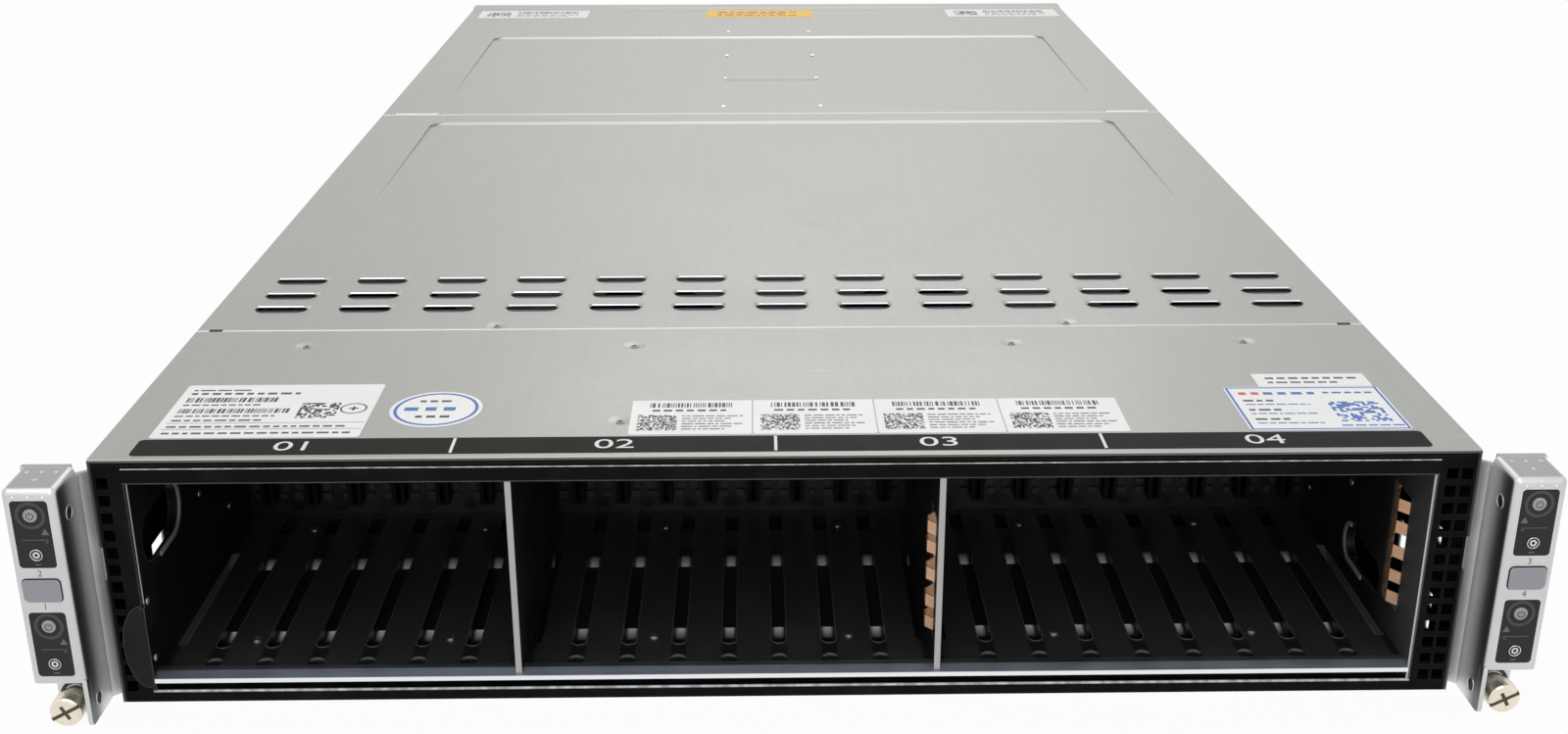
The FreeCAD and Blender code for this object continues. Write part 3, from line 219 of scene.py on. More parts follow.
class Tree:
    """A node tree with short calls for its nodes."""

    def __init__(self, owner):
        owner.use_nodes = True
        self.tree = owner.node_tree

    def put(self, socket, value):
        """Links a socket or sets its own value; a colour is written with three numbers."""
        if isinstance(value, bpy.types.NodeSocket):
            self.tree.links.new(value, socket)
        else:
            socket.default_value = (*value, 1) if socket.type == "RGBA" else value

    def node(self, kind, inputs, output=None, **settings):
        """Adds a node and gives one of its outputs."""
        made = self.tree.nodes.new("ShaderNode" + kind)
        for key, value in settings.items():
            setattr(made, key, value)
        for key, value in inputs.items():
            self.put(made.inputs[key], value)
        return None if output is None else made.outputs[output]

    def maths(self, operation, a, b=0.0):
        return self.node("Math", {0: a, 1: b}, "Value", operation=operation)

    def times(self, *values):
        return reduce(lambda a, b: self.maths("MULTIPLY", a, b), values)

    def plus(self, *values):
        return reduce(lambda a, b: self.maths("ADD", a, b), values)

    def rest(self, value):
        """What is left of one."""
        return self.maths("SUBTRACT", 1.0, value)


class Graph(Tree):
    """A material under way: its base colour is painted in layers."""

    def __init__(self, name):
        self.material = bpy.data.materials.new(name)
        super().__init__(self.material)
        self.shader = self.tree.nodes["Principled BSDF"]
        self.coords = self.tree.nodes.new("ShaderNodeTexCoord")

    def mapped(self, scale):
        return self.node("Mapping", {"Vector": self.coords.outputs["Object"], "Scale": scale}, "Vector")

    def noise(self, scale, detail=3.0, stretch=(1, 1, 1)):
        return self.node("TexNoise", {"Vector": self.mapped(stretch), "Scale": scale, "Detail": detail}, "Fac")

    def spread(self, value, low, high, start=0.3, end=0.7):
        ends = {"From Min": start, "From Max": end, "To Min": low, "To Max": high}
        return self.node("MapRange", {"Value": value, **ends}, "Result")

    def mixed(self, factor, a, b):
        return self.node("Mix", {"Factor": factor, 6: a, 7: b}, 2, data_type="RGBA")

    def tone(self, colour, value, amount):
        """Starts with a colour made darker and lighter by a value around one half."""
        self.base = self.mixed(self.spread(value, 0, 1), scaled(colour, 1 - amount), scaled(colour, 1 + amount))

    def paint(self, mask, colour):
        """Lets a colour show where the mask is one."""
        self.base = self.mixed(mask, self.base, colour)

    def bump(self, height, strength, distance):
        return self.node("Bump", {"Height": height, "Strength": strength, "Distance": distance * MM}, "Normal")

    def flat(self):
        return self.node("NewGeometry", {}, "True Normal")

    def dot(self, a, b):
        return self.node("VectorMath", {0: a, 1: b}, "Value", operation="DOT_PRODUCT")

    def worn_edge(self, radius):
        """One near an outer edge, zero on the flats, from the angle of a rounded normal; it places edge wear and
        painted edge highlights.
        """
        soft = self.node("Bevel", {"Radius": radius * MM}, "Normal", samples=4)
        return self.spread(self.dot(soft, self.flat()), 1, 0, 0.82, 0.99)

    def tilt(self, direction):
        """Cosine between the surface and a direction."""
        return self.dot(self.flat(), Vector(direction).normalized())

    def facing(self, direction, start, end):
        """Rises from zero to one as the surface turns to a direction."""
        return self.spread(self.tilt(direction), 0, 1, start, end)

    def axis(self, name, space="Object"):
        return self.node("SeparateXYZ", {"Vector": self.coords.outputs[space]}, name)

    def before(self, axis, limit):
        """One where a coordinate is less than a limit."""
        return self.maths("LESS_THAN", self.axis(axis), limit * MM)

    def beyond(self, axis, limit):
        """One where a coordinate is more than a limit."""
        return self.maths("GREATER_THAN", self.axis(axis), limit * MM)

    def along(self, axis, low, high, start, end):
        """Goes from low to high between two places on an axis."""
        return self.spread(self.axis(axis), low, high, start * MM, end * MM)

    def within(self, half, middle=0.0):
        """One where the place across lies less than half a width from a middle."""
        away = self.maths("ABSOLUTE", self.maths("SUBTRACT", self.axis("X"), middle * MM))
        return self.maths("LESS_THAN", away, half * MM)

    def finish(self, metallic, roughness, normal, **sockets):
        links = {"Base Color": self.base, "Metallic": metallic, "Roughness": roughness, "Normal": normal}
        links.update({key.replace("_", " "): value for key, value in sockets.items()})
        for key, value in links.items():
            self.put(self.shader.inputs[key], value)
        return self.material


# Finishes
def scoop(g):
    """One on the shallow slopes that run down into the mouths of the louvres, where painted shade goes."""
    back, across = g.tilt(BACK), g.maths("ABSOLUTE", g.tilt(ACROSS))
    return g.times(g.spread(back, 0, 1, 0.045, 0.065), g.spread(back, 1, 0, 0.10, 0.13),
                   g.maths("LESS_THAN", across, 0.03), g.facing(UP, 0.8, 0.9))


def dimple(g):
    """Above zero on the shallow cones round the screws, most on the side that looks forward; it places a painted
    highlight.
    """
    up = g.tilt(UP)
    return g.times(g.maths("GREATER_THAN", up, 0.975), g.maths("LESS_THAN", up, 0.990),
                   g.spread(g.tilt(FRONT), 0.0, 0.12, -0.15, 0.18))


def sheet_metal(name, smear=False, dark_inside=False, front=FACE_Y, lip_highlight=0.0):
    """Sheet with a zinc coat: fine grain, faint rolling streaks, cloudy patches and scratches; painted highlights on
    bends, edges, dimples and the front edge top, painted shade on front faces and louvre scoops.
    """
    g = Graph(name)
    streak, cloud = g.noise(1.0, 4.0, (420, 14, 420)), g.noise(11.0)
    grain, scratch = g.noise(1100.0, 2.0), g.noise(1.0, 6.0, (38, 900, 38))
    g.tone(ZINC, g.plus(g.times(streak, 0.25), g.times(cloud, 0.45), g.times(grain, 0.30)), 0.07)
    g.paint(g.spread(scratch, 0, 0.12, 0.66, 0.74), CUT_AND_HIGHLIGHT)
    if smear:
        spot = {0: g.coords.outputs["Object"], 1: on_top(*SMEAR_AT, 0)}
        away = g.node("VectorMath", spot, "Value", operation="DISTANCE")
        patchy = g.spread(g.noise(60.0, 5.0, (1, 2.5, 1)), 0, 1, 0.35, 0.65)
        g.paint(g.times(g.spread(away, 0.16, 0, 0, SMEAR_REACH * MM), patchy), (0.22, 0.22, 0.26))
    # Edge wear with a faint painted edge highlight
    g.paint(g.times(g.worn_edge(0.35), 0.15), CUT_AND_HIGHLIGHT)
    # Painted highlight on faces turned forward and up, such as bends, louvre brows and dish ramps; faint at the front
    # edge and on the rear hem
    near = g.before("Y", front + 1.2)
    dull = g.maths("MAXIMUM", near, g.beyond("Y", REAR_Y - REAR_HEM))
    g.paint(g.times(g.facing((0, -1, 1), 0.88, 0.94), g.spread(dull, 0.82, 0.12, 0, 1)), CUT_AND_HIGHLIGHT)
    # Painted shade on the faces that look forward at the front edge
    g.paint(g.times(g.facing(FRONT, 0.7, 0.9), near), (0.12, 0.11, 0.10))
    # Painted highlight along the top of the front edge, in the given share
    g.paint(g.times(g.before("Y", front + 0.7), g.facing(UP, 0.3, 0.6), lip_highlight), CUT_AND_HIGHLIGHT)
    # Painted shade on the slopes before the louvre mouths, standing for their dark reflection
    g.paint(scoop(g), (0.12, 0.125, 0.15))
    # Painted highlight on the forward side of the screw dimples
    g.paint(dimple(g), CUT_AND_HIGHLIGHT)
    metal = 1.0
    # The inside of the body ahead of the backplane is painted black and not metallic
    if dark_inside:
        inside = g.times(g.within(SIDE_X - 0.5), g.beyond("Z", 0.5), g.before("Y", BACKPLANE_Y))
        g.paint(inside, BLACK)
        metal = g.rest(inside)
    rough = g.plus(g.spread(cloud, SHEET_ROUGH - 0.05, SHEET_ROUGH + 0.06), g.spread(grain, -0.05, 0.05))
    return g.finish(metal, rough, g.bump(g.plus(g.times(streak, 0.4), g.times(grain, 0.6)), 0.10, 0.05))


class Coat(Graph):
    """Satin black coat with orange peel and dust, and paler places for wear and painted highlights."""

    def __init__(self, name, colour, roughness, edge=0.12):
        super().__init__(name)
        dust = self.noise(60.0, 5.0)
        self.base = self.mixed(self.spread(dust, 0, 0.03, 0.5, 0.75), colour, (0.20, 0.20, 0.20))
        self.rough = self.spread(dust, roughness - 0.06, roughness + 0.06)
        self.metal = 0.0
        # Edge wear with a painted edge highlight
        self.rub(self.worn_edge(0.3), edge, 0.35)

    def rub(self, mask, amount, tone):
        """Lets a paler tone show where the mask is one, for wear and for painted highlights."""
        self.paint(self.times(mask, amount), (tone, tone, tone * 1.02))

    def bare(self, mask, roughness, colour):
        """Leaves the metal bare where the mask is one."""
        self.paint(mask, colour)
        self.rough = self.plus(self.times(self.rest(mask), self.rough), self.times(mask, roughness))
        self.metal = mask

    def done(self, specular):
        peel = self.bump(self.noise(1500.0, 2.0), 0.10, 0.04)
        return self.finish(self.metal, self.rough, peel, Specular_IOR_Level=specular)


def frame_coat():
    """Coat of the front frame, with painted highlights along its bends."""
    g = Coat("frame_coat", (0.003, 0.003, 0.0033), 0.38, 0.06)
    broken = g.spread(g.noise(1.0, 3.0, (260, 40, 40)), 0.55, 1, 0.40, 0.60)
    # Painted highlight, broken into dashes, on the bends that face forward and up below the top sheet
    g.rub(g.times(g.facing((0, -1, 1), 0.86, 0.985), broken, g.before("Z", TOP_Z - 2)), 1.0, 0.8)
    # Dimmer painted highlight on the bends that face forward and down
    g.rub(g.facing((0, -1, -1), 0.86, 0.985), 0.55, 0.22)
    return g.done(0.06)


def floor_coat():
    """Coat of the cage floor: painted highlights on ramps, wall grooves and forward cut edges, and the floor between
    the guides a little paler.
    """
    g = Coat("floor_coat", BLACK, 0.36)
    offset = 0.0
    for x0, x1, count in BAYS:
        away = g.maths("PINGPONG", g.maths("SUBTRACT", g.axis("X"), x0 * MM), (x1 - x0) * MM / count / 2)
        offset = g.plus(offset, g.times(g.beyond("X", x0), g.before("X", x1), away))
    middle = g.spread(offset, 1, 0, 0.9 * MM, 2.2 * MM)
    lane = g.spread(offset, 0, 1, GUIDE_W / 2 * MM, (GUIDE_W / 2 + 0.6) * MM)
    g.rub(g.times(lane, g.beyond("Z", FLOOR_Z - 0.2)), 0.06, 0.25)
    (front, crest), (foot, end) = GUIDE_RAMPS
    # Wear and a painted highlight on the front ramps, rising to their crest
    rise = g.facing((0, -GUIDE_DIP, crest - front), 0.996, 0.999)
    g.rub(g.times(rise, g.along("Y", 0, 1, FACE_Y + front + 2, FACE_Y + crest), middle), 0.9, 0.90)
    # Wear and a painted highlight on the rear ramps, fading toward the rear
    fall = g.facing((0, -GUIDE_DEPTH, end - foot), 0.99, 0.998)
    g.rub(g.times(fall, g.along("Y", 1, 0, FACE_Y + foot, FACE_Y + foot + 5), middle), 0.9, 0.95)
    # Painted highlight in the grooves along the walls, below the floor top
    g.rub(g.times(g.rest(g.within(CAGE_HALF - 6, CAGE_MIDDLE)), g.before("Z", FLOOR_Z - 0.3)), 1.0, 0.14)
    # Cut edges near the front that face forward: pale bare metal with a painted highlight
    high = g.times(g.beyond("Z", FLOOR_Z - 1.2), g.before("Y", FACE_Y + 20))
    g.rub(g.times(g.facing(FRONT, 0.35, 0.8), high), 0.7, 0.16)
    return g.done(0.5)


def edge_coat(name, lowest, colour, wide=0.6, front=0.0, specular=0.4):
    """Coat of a wall or divider: its front edge is bare metal above a height, and its front end may be paler with a
    painted sheen.
    """
    g = Coat(name, BLACK, 0.40, 0.6)
    # Painted sheen on the front end, fading to the rear
    g.rub(g.along("Y", 1, 0, FACE_Y + 6, FACE_Y + 40), front, 0.2)
    edge = g.times(g.before("Y", FACE_Y + 0.6), g.beyond("Z", lowest), g.within(CAGE_HALF + wide, CAGE_MIDDLE),
                   g.facing(FRONT, 0.7, 0.8))
    g.bare(edge, 0.34, colour)
    return g.done(specular)


def blasted_metal(name, colour, roughness, bump=0.14):
    """Fine blasted metal with painted highlights on its rounded edges and painted shade on its tops; inner side faces
    carry painted shade in front and a pale painted reflection to the rear.
    """
    g = Graph(name)
    grit, cloud = g.noise(2600.0, 2.0), g.noise(40.0, 4.0)
    g.tone(colour, cloud, 0.06)
    # Painted shade on faces that look up
    g.paint(g.facing(UP, 0.9, 0.99), scaled(colour, 0.62))
    # Edge wear with a painted edge highlight
    g.paint(g.times(g.worn_edge(0.5), 0.32), (0.88, 0.88, 0.88))
    side = g.spread(g.maths("ABSOLUTE", g.tilt(ACROSS)), 0, 1, 0.8, 0.95)
    side = g.times(side, g.within(EAR_IN + 1))
    # Painted shade on the front of the inner side faces
    g.paint(g.times(side, g.along("Y", 0.8, 0, EAR_FACE + 4, FACE_Y - 5)), (0.03, 0.03, 0.032))
    # Painted reflection, pale and less metallic, on the rear of the inner side faces
    pale = g.times(side, g.along("Y", 0, 1, FACE_Y - 9, FACE_Y - 1))
    g.paint(pale, CUT_AND_HIGHLIGHT)
    rough = g.plus(g.spread(cloud, roughness - 0.04, roughness + 0.05), g.spread(grit, -0.04, 0.04))
    return g.finish(g.rest(g.times(pale, 0.4)), rough, g.bump(grit, bump, 0.03))


def drawn_metal(name, colour, roughness, grain, front=None):
    """Turned or brushed metal with fine lines; faces that look forward may have their own colour, a painted highlight.
    """
    g = Graph(name)
    line, cloud = g.noise(1.0, 5.0, grain), g.noise(80.0)
    g.tone(colour, g.times(g.plus(cloud, line), 0.5), 0.12)
    if front is not None:
        # Painted highlight on faces that look forward
        g.paint(g.facing(FRONT, 0.6, 0.9), front)
    rough = g.plus(g.spread(line, roughness - 0.06, roughness + 0.06), g.spread(cloud, -0.03, 0.03))
    return g.finish(1.0, rough, g.bump(line, 0.15, 0.02))


def copper_metal():
    """Copper with painted shade, dark brown, on faces that turn away from the front; the slopes that look forward,
    which meet the drives, stay bright.
    """
    g = Graph("contact_copper")
    line = g.noise(1.0, 4.0, (600, 60, 600))
    g.tone((1.0, 0.58, 0.36), line, 0.08)
    # Painted shade, dark brown, where the faces turn away from the front
    g.paint(g.spread(g.tilt(FRONT), 0.8, 0, 0.1, 0.3), (0.16, 0.07, 0.04))
    return g.finish(0.35, g.spread(line, 0.30, 0.42), g.bump(line, 0.08, 0.02))


def moulded(name, colour, roughness, coat=0.0, specular=0.5):
    """Plastic, film or print: faintly cloudy, with a very fine grain."""
    g = Graph(name)
    cloud = g.noise(70.0, 4.0)
    g.tone(colour, cloud, 0.12)
    rough = g.spread(cloud, roughness - 0.05, roughness + 0.07)
    return g.finish(0.0, rough, g.bump(g.noise(1800.0, 2.0), 0.08, 0.03), Coat_Weight=coat, Coat_Roughness=0.12,
                    Specular_IOR_Level=specular)


def paper(name, colour):
    """Label paper with fine fibres."""
    g = Graph(name)
    fibre = g.noise(1400.0, 4.0)
    g.tone(colour, g.noise(45.0), 0.03)
    return g.finish(0.0, g.spread(fibre, 0.38, 0.52), g.bump(fibre, 0.05, 0.02))


class Board(Graph):
    """Circuit board: solder mask with faint traces."""

    def __init__(self, name, colour, cells, contrast):
        super().__init__(name)
        pattern = {"Vector": self.mapped(cells), "Scale": 1.0}
        self.trace = self.node("TexVoronoi", pattern, "Distance", distance="MANHATTAN")
        self.base = self.mixed(self.spread(self.trace, 0, 1, 0.05, 0.12), scaled(colour, contrast), colour)

    def done(self, metal=0.0):
        return self.finish(metal, self.spread(self.noise(300.0), 0.30, 0.46), self.bump(self.trace, 0.1, 0.05))


def level_board(name, colour):
    """Level board with dark parts above it and bare shells at its rear end."""
    g = Board(name, colour, (220, 120, 220), 1.7)
    chips = g.node("TexBrick", {"Vector": g.coords.outputs["Object"], "Scale": 60.0, "Color1": MOULDED,
                                "Color2": (0.03, 0.03, 0.035), "Mortar": colour}, "Color")
    above = g.maths("GREATER_THAN", g.axis("Z", "Generated"), 0.06)
    g.paint(above, chips)
    shell = g.times(g.maths("GREATER_THAN", g.axis("Y", "Generated"), 0.956), above)
    g.paint(shell, STEEL)
    return g.done(shell)


def upright_board(name, colour, shade=None):
    """Upright board, which may carry painted shade, black, below a height."""
    g = Board(name, colour, (260, 260, 150), 1.8)
    if shade is not None:
        g.paint(g.before("Z", shade), (0.001, 0.001, 0.001))
    return g.done()


FINISH = {
    "zinc_steel": sheet_metal("zinc_sheet"),
    "black_steel": Coat("black_coat", BLACK, 0.40).done(0.4),
    "bare_steel": drawn_metal("bare_steel", STEEL, 0.50, ROLLED),
    "ear_silver": blasted_metal("ear_silver", SILVER, 0.44),
    "copper": copper_metal(),
    "board_green": level_board("circuit_board", GREEN),
    "black_plastic": moulded("black_plastic", MOULDED, 0.45),
    "panel_black": moulded("panel_film", (0.014, 0.0125, 0.0125), 0.40, specular=0.3),
    "button_grey": moulded("button_cap", (0.34, 0.335, 0.335), 0.35, 0.3),
    "plate_grey": blasted_metal("blank_plate", (0.31, 0.30, 0.33), 0.36, 0.05),
    "screw_nickel": drawn_metal("plated_screw", (0.80, 0.74, 0.61), 0.26, (900, 900, 900)),
    "sink_metal": drawn_metal("fin_metal", (0.62, 0.63, 0.64), 0.42, (60, 8, 60)),
    "label_paper": paper("label_paper", (0.93, 0.93, 0.92)),
}
SPECIAL = {
    "middle_cover": sheet_metal("cover_sheet", smear=True, front=box("middle_cover")[0].y, lip_highlight=0.4),
    "chassis_base": sheet_metal("body_sheet", dark_inside=True),
    # The sill's faces that look forward are pale: a painted highlight
    "front_sill": drawn_metal("sill_steel", (0.20, 0.225, 0.26), 0.46, ROLLED, (0.80, 0.82, 0.84)),
    "front_frame": frame_coat(),
    "cage_floor": floor_coat(),
    "cage_left_wall": edge_coat("left_wall_coat", TONGUE_TOP, (0.34, 0.34, 0.35), 0.3, specular=0.15),
    "cage_right_wall": edge_coat("right_wall_coat", 0.0, STEEL, front=0.30),
    "bay_divider_left": edge_coat("divider_coat", 0.0, (0.40, 0.40, 0.39)),
    "ear_backs": blasted_metal("ear_back_silver", SILVER, 0.44),
    # The backplane board and its connectors are much darker copies of the board green and moulded black: painted shade
    # at the back of the bays
    "backplane": upright_board("backplane_board", (0.002, 0.006, 0.004), box("backplane")[0].z + 5.5),
    "backplane_connectors": moulded("port_black", (0.005, 0.005, 0.005), 0.5, specular=0.15),
    "midplane": upright_board("midplane_board", GREEN),
    "power_board": upright_board("power_board", GREEN),
}
SPECIAL["bay_divider_right"] = SPECIAL["bay_divider_left"]
INKS = {name: moulded(f"{name}_ink", colour, 0.45) for name, colour in (
    ("ink", (0.030, 0.030, 0.032)), ("blue", (0.05, 0.16, 0.50)), ("red", (0.60, 0.08, 0.06)),
    ("white", (0.80, 0.80, 0.79)))}
AMBER = paper("amber_paper", (1.0, 0.56, 0.03))
STRIP = moulded("strip_film", (0.020, 0.021, 0.019), 0.46, specular=0.03)
CHROME = drawn_metal("chrome_ring", (0.78, 0.78, 0.79), 0.16, TURNED)
# Pale zinc for the tunnel pips and for the painted highlight at the seam ends
BRIGHT = drawn_metal("pale_zinc", CUT_AND_HIGHLIGHT, 0.40, (300, 300, 300))
GOLD = drawn_metal("contact_gold", (0.80, 0.58, 0.22), 0.28, TURNED)
DULL = drawn_metal("dull_screw", (0.30, 0.31, 0.32), 0.42, TURNED)
# Near black for printed marks and gaps, and for painted shade in recesses and holes
DARK_AND_SHADE = moulded("dark_and_painted_shade", (0.006, 0.006, 0.006), 0.6)
# Paler coat for the painted highlight on the guide rims
HIGHLIGHT_COAT = moulded("highlight_coat", (0.05, 0.05, 0.051), 0.40)
# Pale coat for the painted highlight on the hand hole beads
BEAD_HIGHLIGHT = moulded("bead_highlight_coat", (0.26, 0.26, 0.26), 0.34)
# Dark brown for the painted shade in the thumbscrew slots
SLOT_SHADE = moulded("slot_shade", (0.05, 0.04, 0.025), 0.5)
PANEL_PRINT = moulded("panel_print", (0.13, 0.125, 0.125), 0.4)
RING_PRINT = moulded("ring_print", (0.045, 0.042, 0.042), 0.4)
TAN = moulded("small_parts", (0.03, 0.027, 0.018), 0.5)

for part in frame["record"]["subparts"]:
    name = part["node"]
    nodes[name].data.materials.clear()
    nodes[name].data.materials.append(SPECIAL.get(name, FINISH[part["material_slot"]]))


# Outlines
def rectangle(u0, u1, v0, v1):
    return [(u0, v0), (u1, v0), (u1, v1), (u0, v1)]


def arc(u, v, radius, start, turn, steps=40):
    turns = [math.radians(start + turn * i / steps) for i in range(steps + 1)]
    return [(u + radius * math.cos(a), v + radius * math.sin(a)) for a in turns]


def circle(u, v, radius, steps=32):
    return arc(u, v, radius, 0, 360, steps)[:-1]


def rounded(u0, u1, v0, v1, radius, steps=5):
    """Rectangle with round corners."""
    u0, u1, v0, v1 = u0 + radius, u1 - radius, v0 + radius, v1 - radius
    corners = enumerate(((u1, v1), (u0, v1), (u0, v0), (u1, v0)))
    return [spot for i, (u, v) in corners for spot in arc(u, v, radius, 90 * i, 90, steps)]


def oblong(half_u, half_v, radius, steps=5):
    """Rectangle with round corners, about its middle."""
    return rounded(-half_u, half_u, -half_v, half_v, radius, steps)


def turned(outline, angle):
    c, s = math.cos(angle), math.sin(angle)
    return [(u * c - v * s, u * s + v * c) for u, v in outline]


# Meshes
def linked(name, data):
    """Adds an object to the scene."""
    made = bpy.data.objects.new(name, data)
    bpy.context.collection.objects.link(made)
    return made


class Shape:
    """A mesh of closed forms; its place turns two coordinates and a height into a point."""

    def __init__(self, place=None):
        self.bm, self.place = bmesh.new(), place

    def at(self, place):
        self.place = place
        return self

    def wall(self, lower, upper):
        """Faces between two closed loops of points."""
        for i in range(len(lower)):
            j = (i + 1) % len(lower)
            self.bm.faces.new((lower[i], lower[j], upper[j], upper[i]))

    def stack(self, levels):
        """A closed form through outlines with the same number of points, each with its height."""
        loops = [[self.bm.verts.new(self.place(u, v, h)) for u, v in outline] for outline, h in levels]
        self.bm.faces.new(loops[0][::-1])
        self.bm.faces.new(loops[-1])
        for lower, upper in zip(loops, loops[1:]):
            self.wall(lower, upper)
        return self

    def prism(self, outline, low, high):
        return self.stack(((outline, low), (outline, high)))

    def revolve(self, profile, steps=32):
        """Turns (radius, height) pairs round the axis of the place."""
        return self.stack([(circle(0, 0, radius, steps), height) for radius, height in profile])

    def band(self, inner, outer, low, high, closed=True):
        """A closed band between two outlines with the same number of points."""
        loops = [[self.bm.verts.new(self.place(u, v, h)) for (u, v), h in ((a, low), (b, low), (b, high), (a, high))]
                 for a, b in zip(inner, outer)]
        for first, second in zip(loops, loops[1:] + loops[:1] if closed else loops[1:]):
            self.wall(first, second)
        if not closed:
            self.bm.faces.new(loops[0])
            self.bm.faces.new(loops[-1][::-1])
        return self

    def ring(self, inner, outer, low, high, steps=40, at=(0, 0)):
        return self.band(circle(*at, inner, steps), circle(*at, outer, steps), low, high)

    def done(self, name, material, smooth=None):
        """Makes the object; faces that meet below the angle smooth, in degrees, are shaded as one."""
        bmesh.ops.recalc_face_normals(self.bm, faces=self.bm.faces)
        mesh = bpy.data.meshes.new(name)
        self.bm.to_mesh(mesh)
        self.bm.free()
        mesh.materials.append(material)
        if smooth is not None:
            mesh.shade_smooth()
            mesh.set_sharp_from_angle(angle=math.radians(smooth))
        return linked(name, mesh)

    def piece(self, name, slot, material=None, body="chassis", smooth=None):
        """Makes the object and lets it ride on a body; the finish of the given slot is the default."""
        made = self.done(name, material or FINISH[slot], smooth)
        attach(made, body)
        return made


def soften(made, width, segments=3):
    """Rounds the edges of a piece."""
    bevel = made.modifiers.new("soft_edges", "BEVEL")
    bevel.width, bevel.segments, bevel.limit_method = width * MM, segments, "ANGLE"


# Labels on the top sheets
class Label:
    """A printed label: a paper plate and flat marks, placed from its front left corner."""

    def __init__(self, name, x, y, stock=None, corner=1.2, outline=None):
        self.name, self.x, self.y = name, x, y
        self.w, self.h = x[1] - x[0], y[1] - y[0]
        self.rng = random.Random(name)
        self.marks = defaultdict(lambda: Shape(on_top))
        Shape(on_top).prism(outline or rounded(*x, *y, corner), 0, PAPER).piece(name, "label_paper", stock)

    def bar(self, u0, u1, v0, v1, ink="ink"):
        outline = rectangle(self.x[0] + u0, self.x[0] + u1, self.y[0] + v0, self.y[0] + v1)
        self.marks[ink].prism(outline, PAPER, PAPER + INK)

    def row(self, u0, u1, v, height, longest=6.0, ink="ink"):
        """A row of plain dashes of uneven length."""
        u = u0
        while u < u1 - height:
            length = min(self.rng.uniform(1.2 * height, longest), u1 - u)
            self.bar(u, u + length, v, v + height, ink)
            u += length + 0.8 * height

    def rows(self, *rows):
        for row in rows:
            self.row(*row)

    def stripes(self, u0, u1, v0, v1):
        """Plain stripes of uneven width."""
        u = u0
        while u < u1:
            width = self.rng.choice((0.35, 0.35, 0.7, 1.05))
            self.bar(u, min(u + width, u1), v0, v1)
            u += width + self.rng.choice((0.4, 0.4, 0.8))

    def checks(self, u, v, size, cells, ink="ink"):
        """A block of random cells."""
        step = size / cells
        for i in range(cells):
            j = 0
            while j < cells:
                run = 0
                while j + run < cells and self.rng.random() < 0.55:
                    run += 1
                if run:
                    self.bar(u + j * step, u + (j + run) * step, v + i * step, v + (i + 1) * step, ink)
                j += run + 1

    def ring(self, u, v, inner, outer, ink="ink"):
        self.marks[ink].ring(inner, outer, PAPER, PAPER + INK, at=(self.x[0] + u, self.y[0] + v))

    def border(self, inset, width, ink):
        a, b, w, h = inset, inset + width, self.w, self.h
        for edges in ((a, w - a, a, b), (a, w - a, h - b, h - a), (a, b, b, h - b), (w - b, w - a, b, h - b)):
            self.bar(*edges, ink)

    def close(self):
        for ink, shape in self.marks.items():
            shape.piece(f"{self.name}_{ink}", "label_paper", INKS[ink])


def main_label():
    label = Label("main_label", (-206, -138.4), (16.8, 62.6))
    label.rows((3, 24, 40.4, 1.0), (3, 40, 37.0, 1.6, 4))
    label.stripes(3, 34, 30.2, 34.2)
    label.row(3, 30, 27.2, 1.0, 3)
    label.stripes(3, 40, 20.6, 24.4)
    label.rows((3, 36, 17.6, 1.0, 3), (3, 33, 13.8, 1.2, 4), (3, 62, 8.4, 1.3, 4), (3, 64, 3.0, 1.3, 4))
    label.checks(43, 16, 13, 15)
    label.ring(61, 24, 3.9, 4.5)
    for bar in ((2, 67, 12.0, 12.25), (2, 67, 6.8, 7.05), (59.4, 62.6, 23.6, 24.4), (60.6, 61.4, 22.4, 25.6)):
        label.bar(*bar)
    label.close()


def round_label():
    x, y, radius = -117.3, 39.7, 15.4
    label = Label("round_label", (x - radius, x + radius), (y - radius, y + radius), outline=circle(x, y, radius, 64))
    label.ring(radius, radius, radius - 2.4, radius - 1.3, "blue")
    label.rows((9.0, 22.0, 21.5, 1.6, 3.5), (4.8, 26.2, 14.0, 3.0, 5, "blue"), (9.5, 21.5, 8.0, 1.8, 3.5))
    label.close()


def node_labels():
    for i, (left, right) in enumerate(zip(NODE_LABEL_EDGES, NODE_LABEL_EDGES[1:]), 1):
        label = Label(f"node_label_{i}", (left + 0.25, right - 0.25), (17.0, 45.8), corner=0.6)
        label.stripes(6, label.w - 6, 22.6, 26.4)
        label.row(7, label.w - 7, 19.2, 1.5, 3)
        label.checks(2.4, 3.2, 13, 22)
        for k in range(6):
            label.row(17, label.w - 3 - 3 * (k % 3), 14.8 - 2.2 * k, 0.7, 4)
        label.close()


def right_labels():
    small = Label("small_label", (163.5, 203), (55.0, 66.8), corner=0.6)
    small.rows((4, 36, 6.8, 1.5, 4), (4, 30, 3.0, 1.3, 4))
    small.close()
    edged = Label("edged_label", (150.6, 204), (16.8, 54.6), corner=2.0)
    edged.border(0.6, 0.8, "blue")
    edged.rows((4, 11, 30.6, 2.2, 2.5, "red"), (12.5, 30, 30.6, 2.2, 4, "blue"), (33, 51, 31.4, 1.4, 4, "blue"))
    for v in (24.6, 16.6, 8.6):
        edged.rows((4, 16, v, 1.4, 4), (4, 26, v - 3.0, 0.8, 4, "blue"))
    edged.checks(32, 7, 17, 15, "blue")
    edged.row(31, 52, 3.2, 1.0, 4, "blue")
    edged.close()


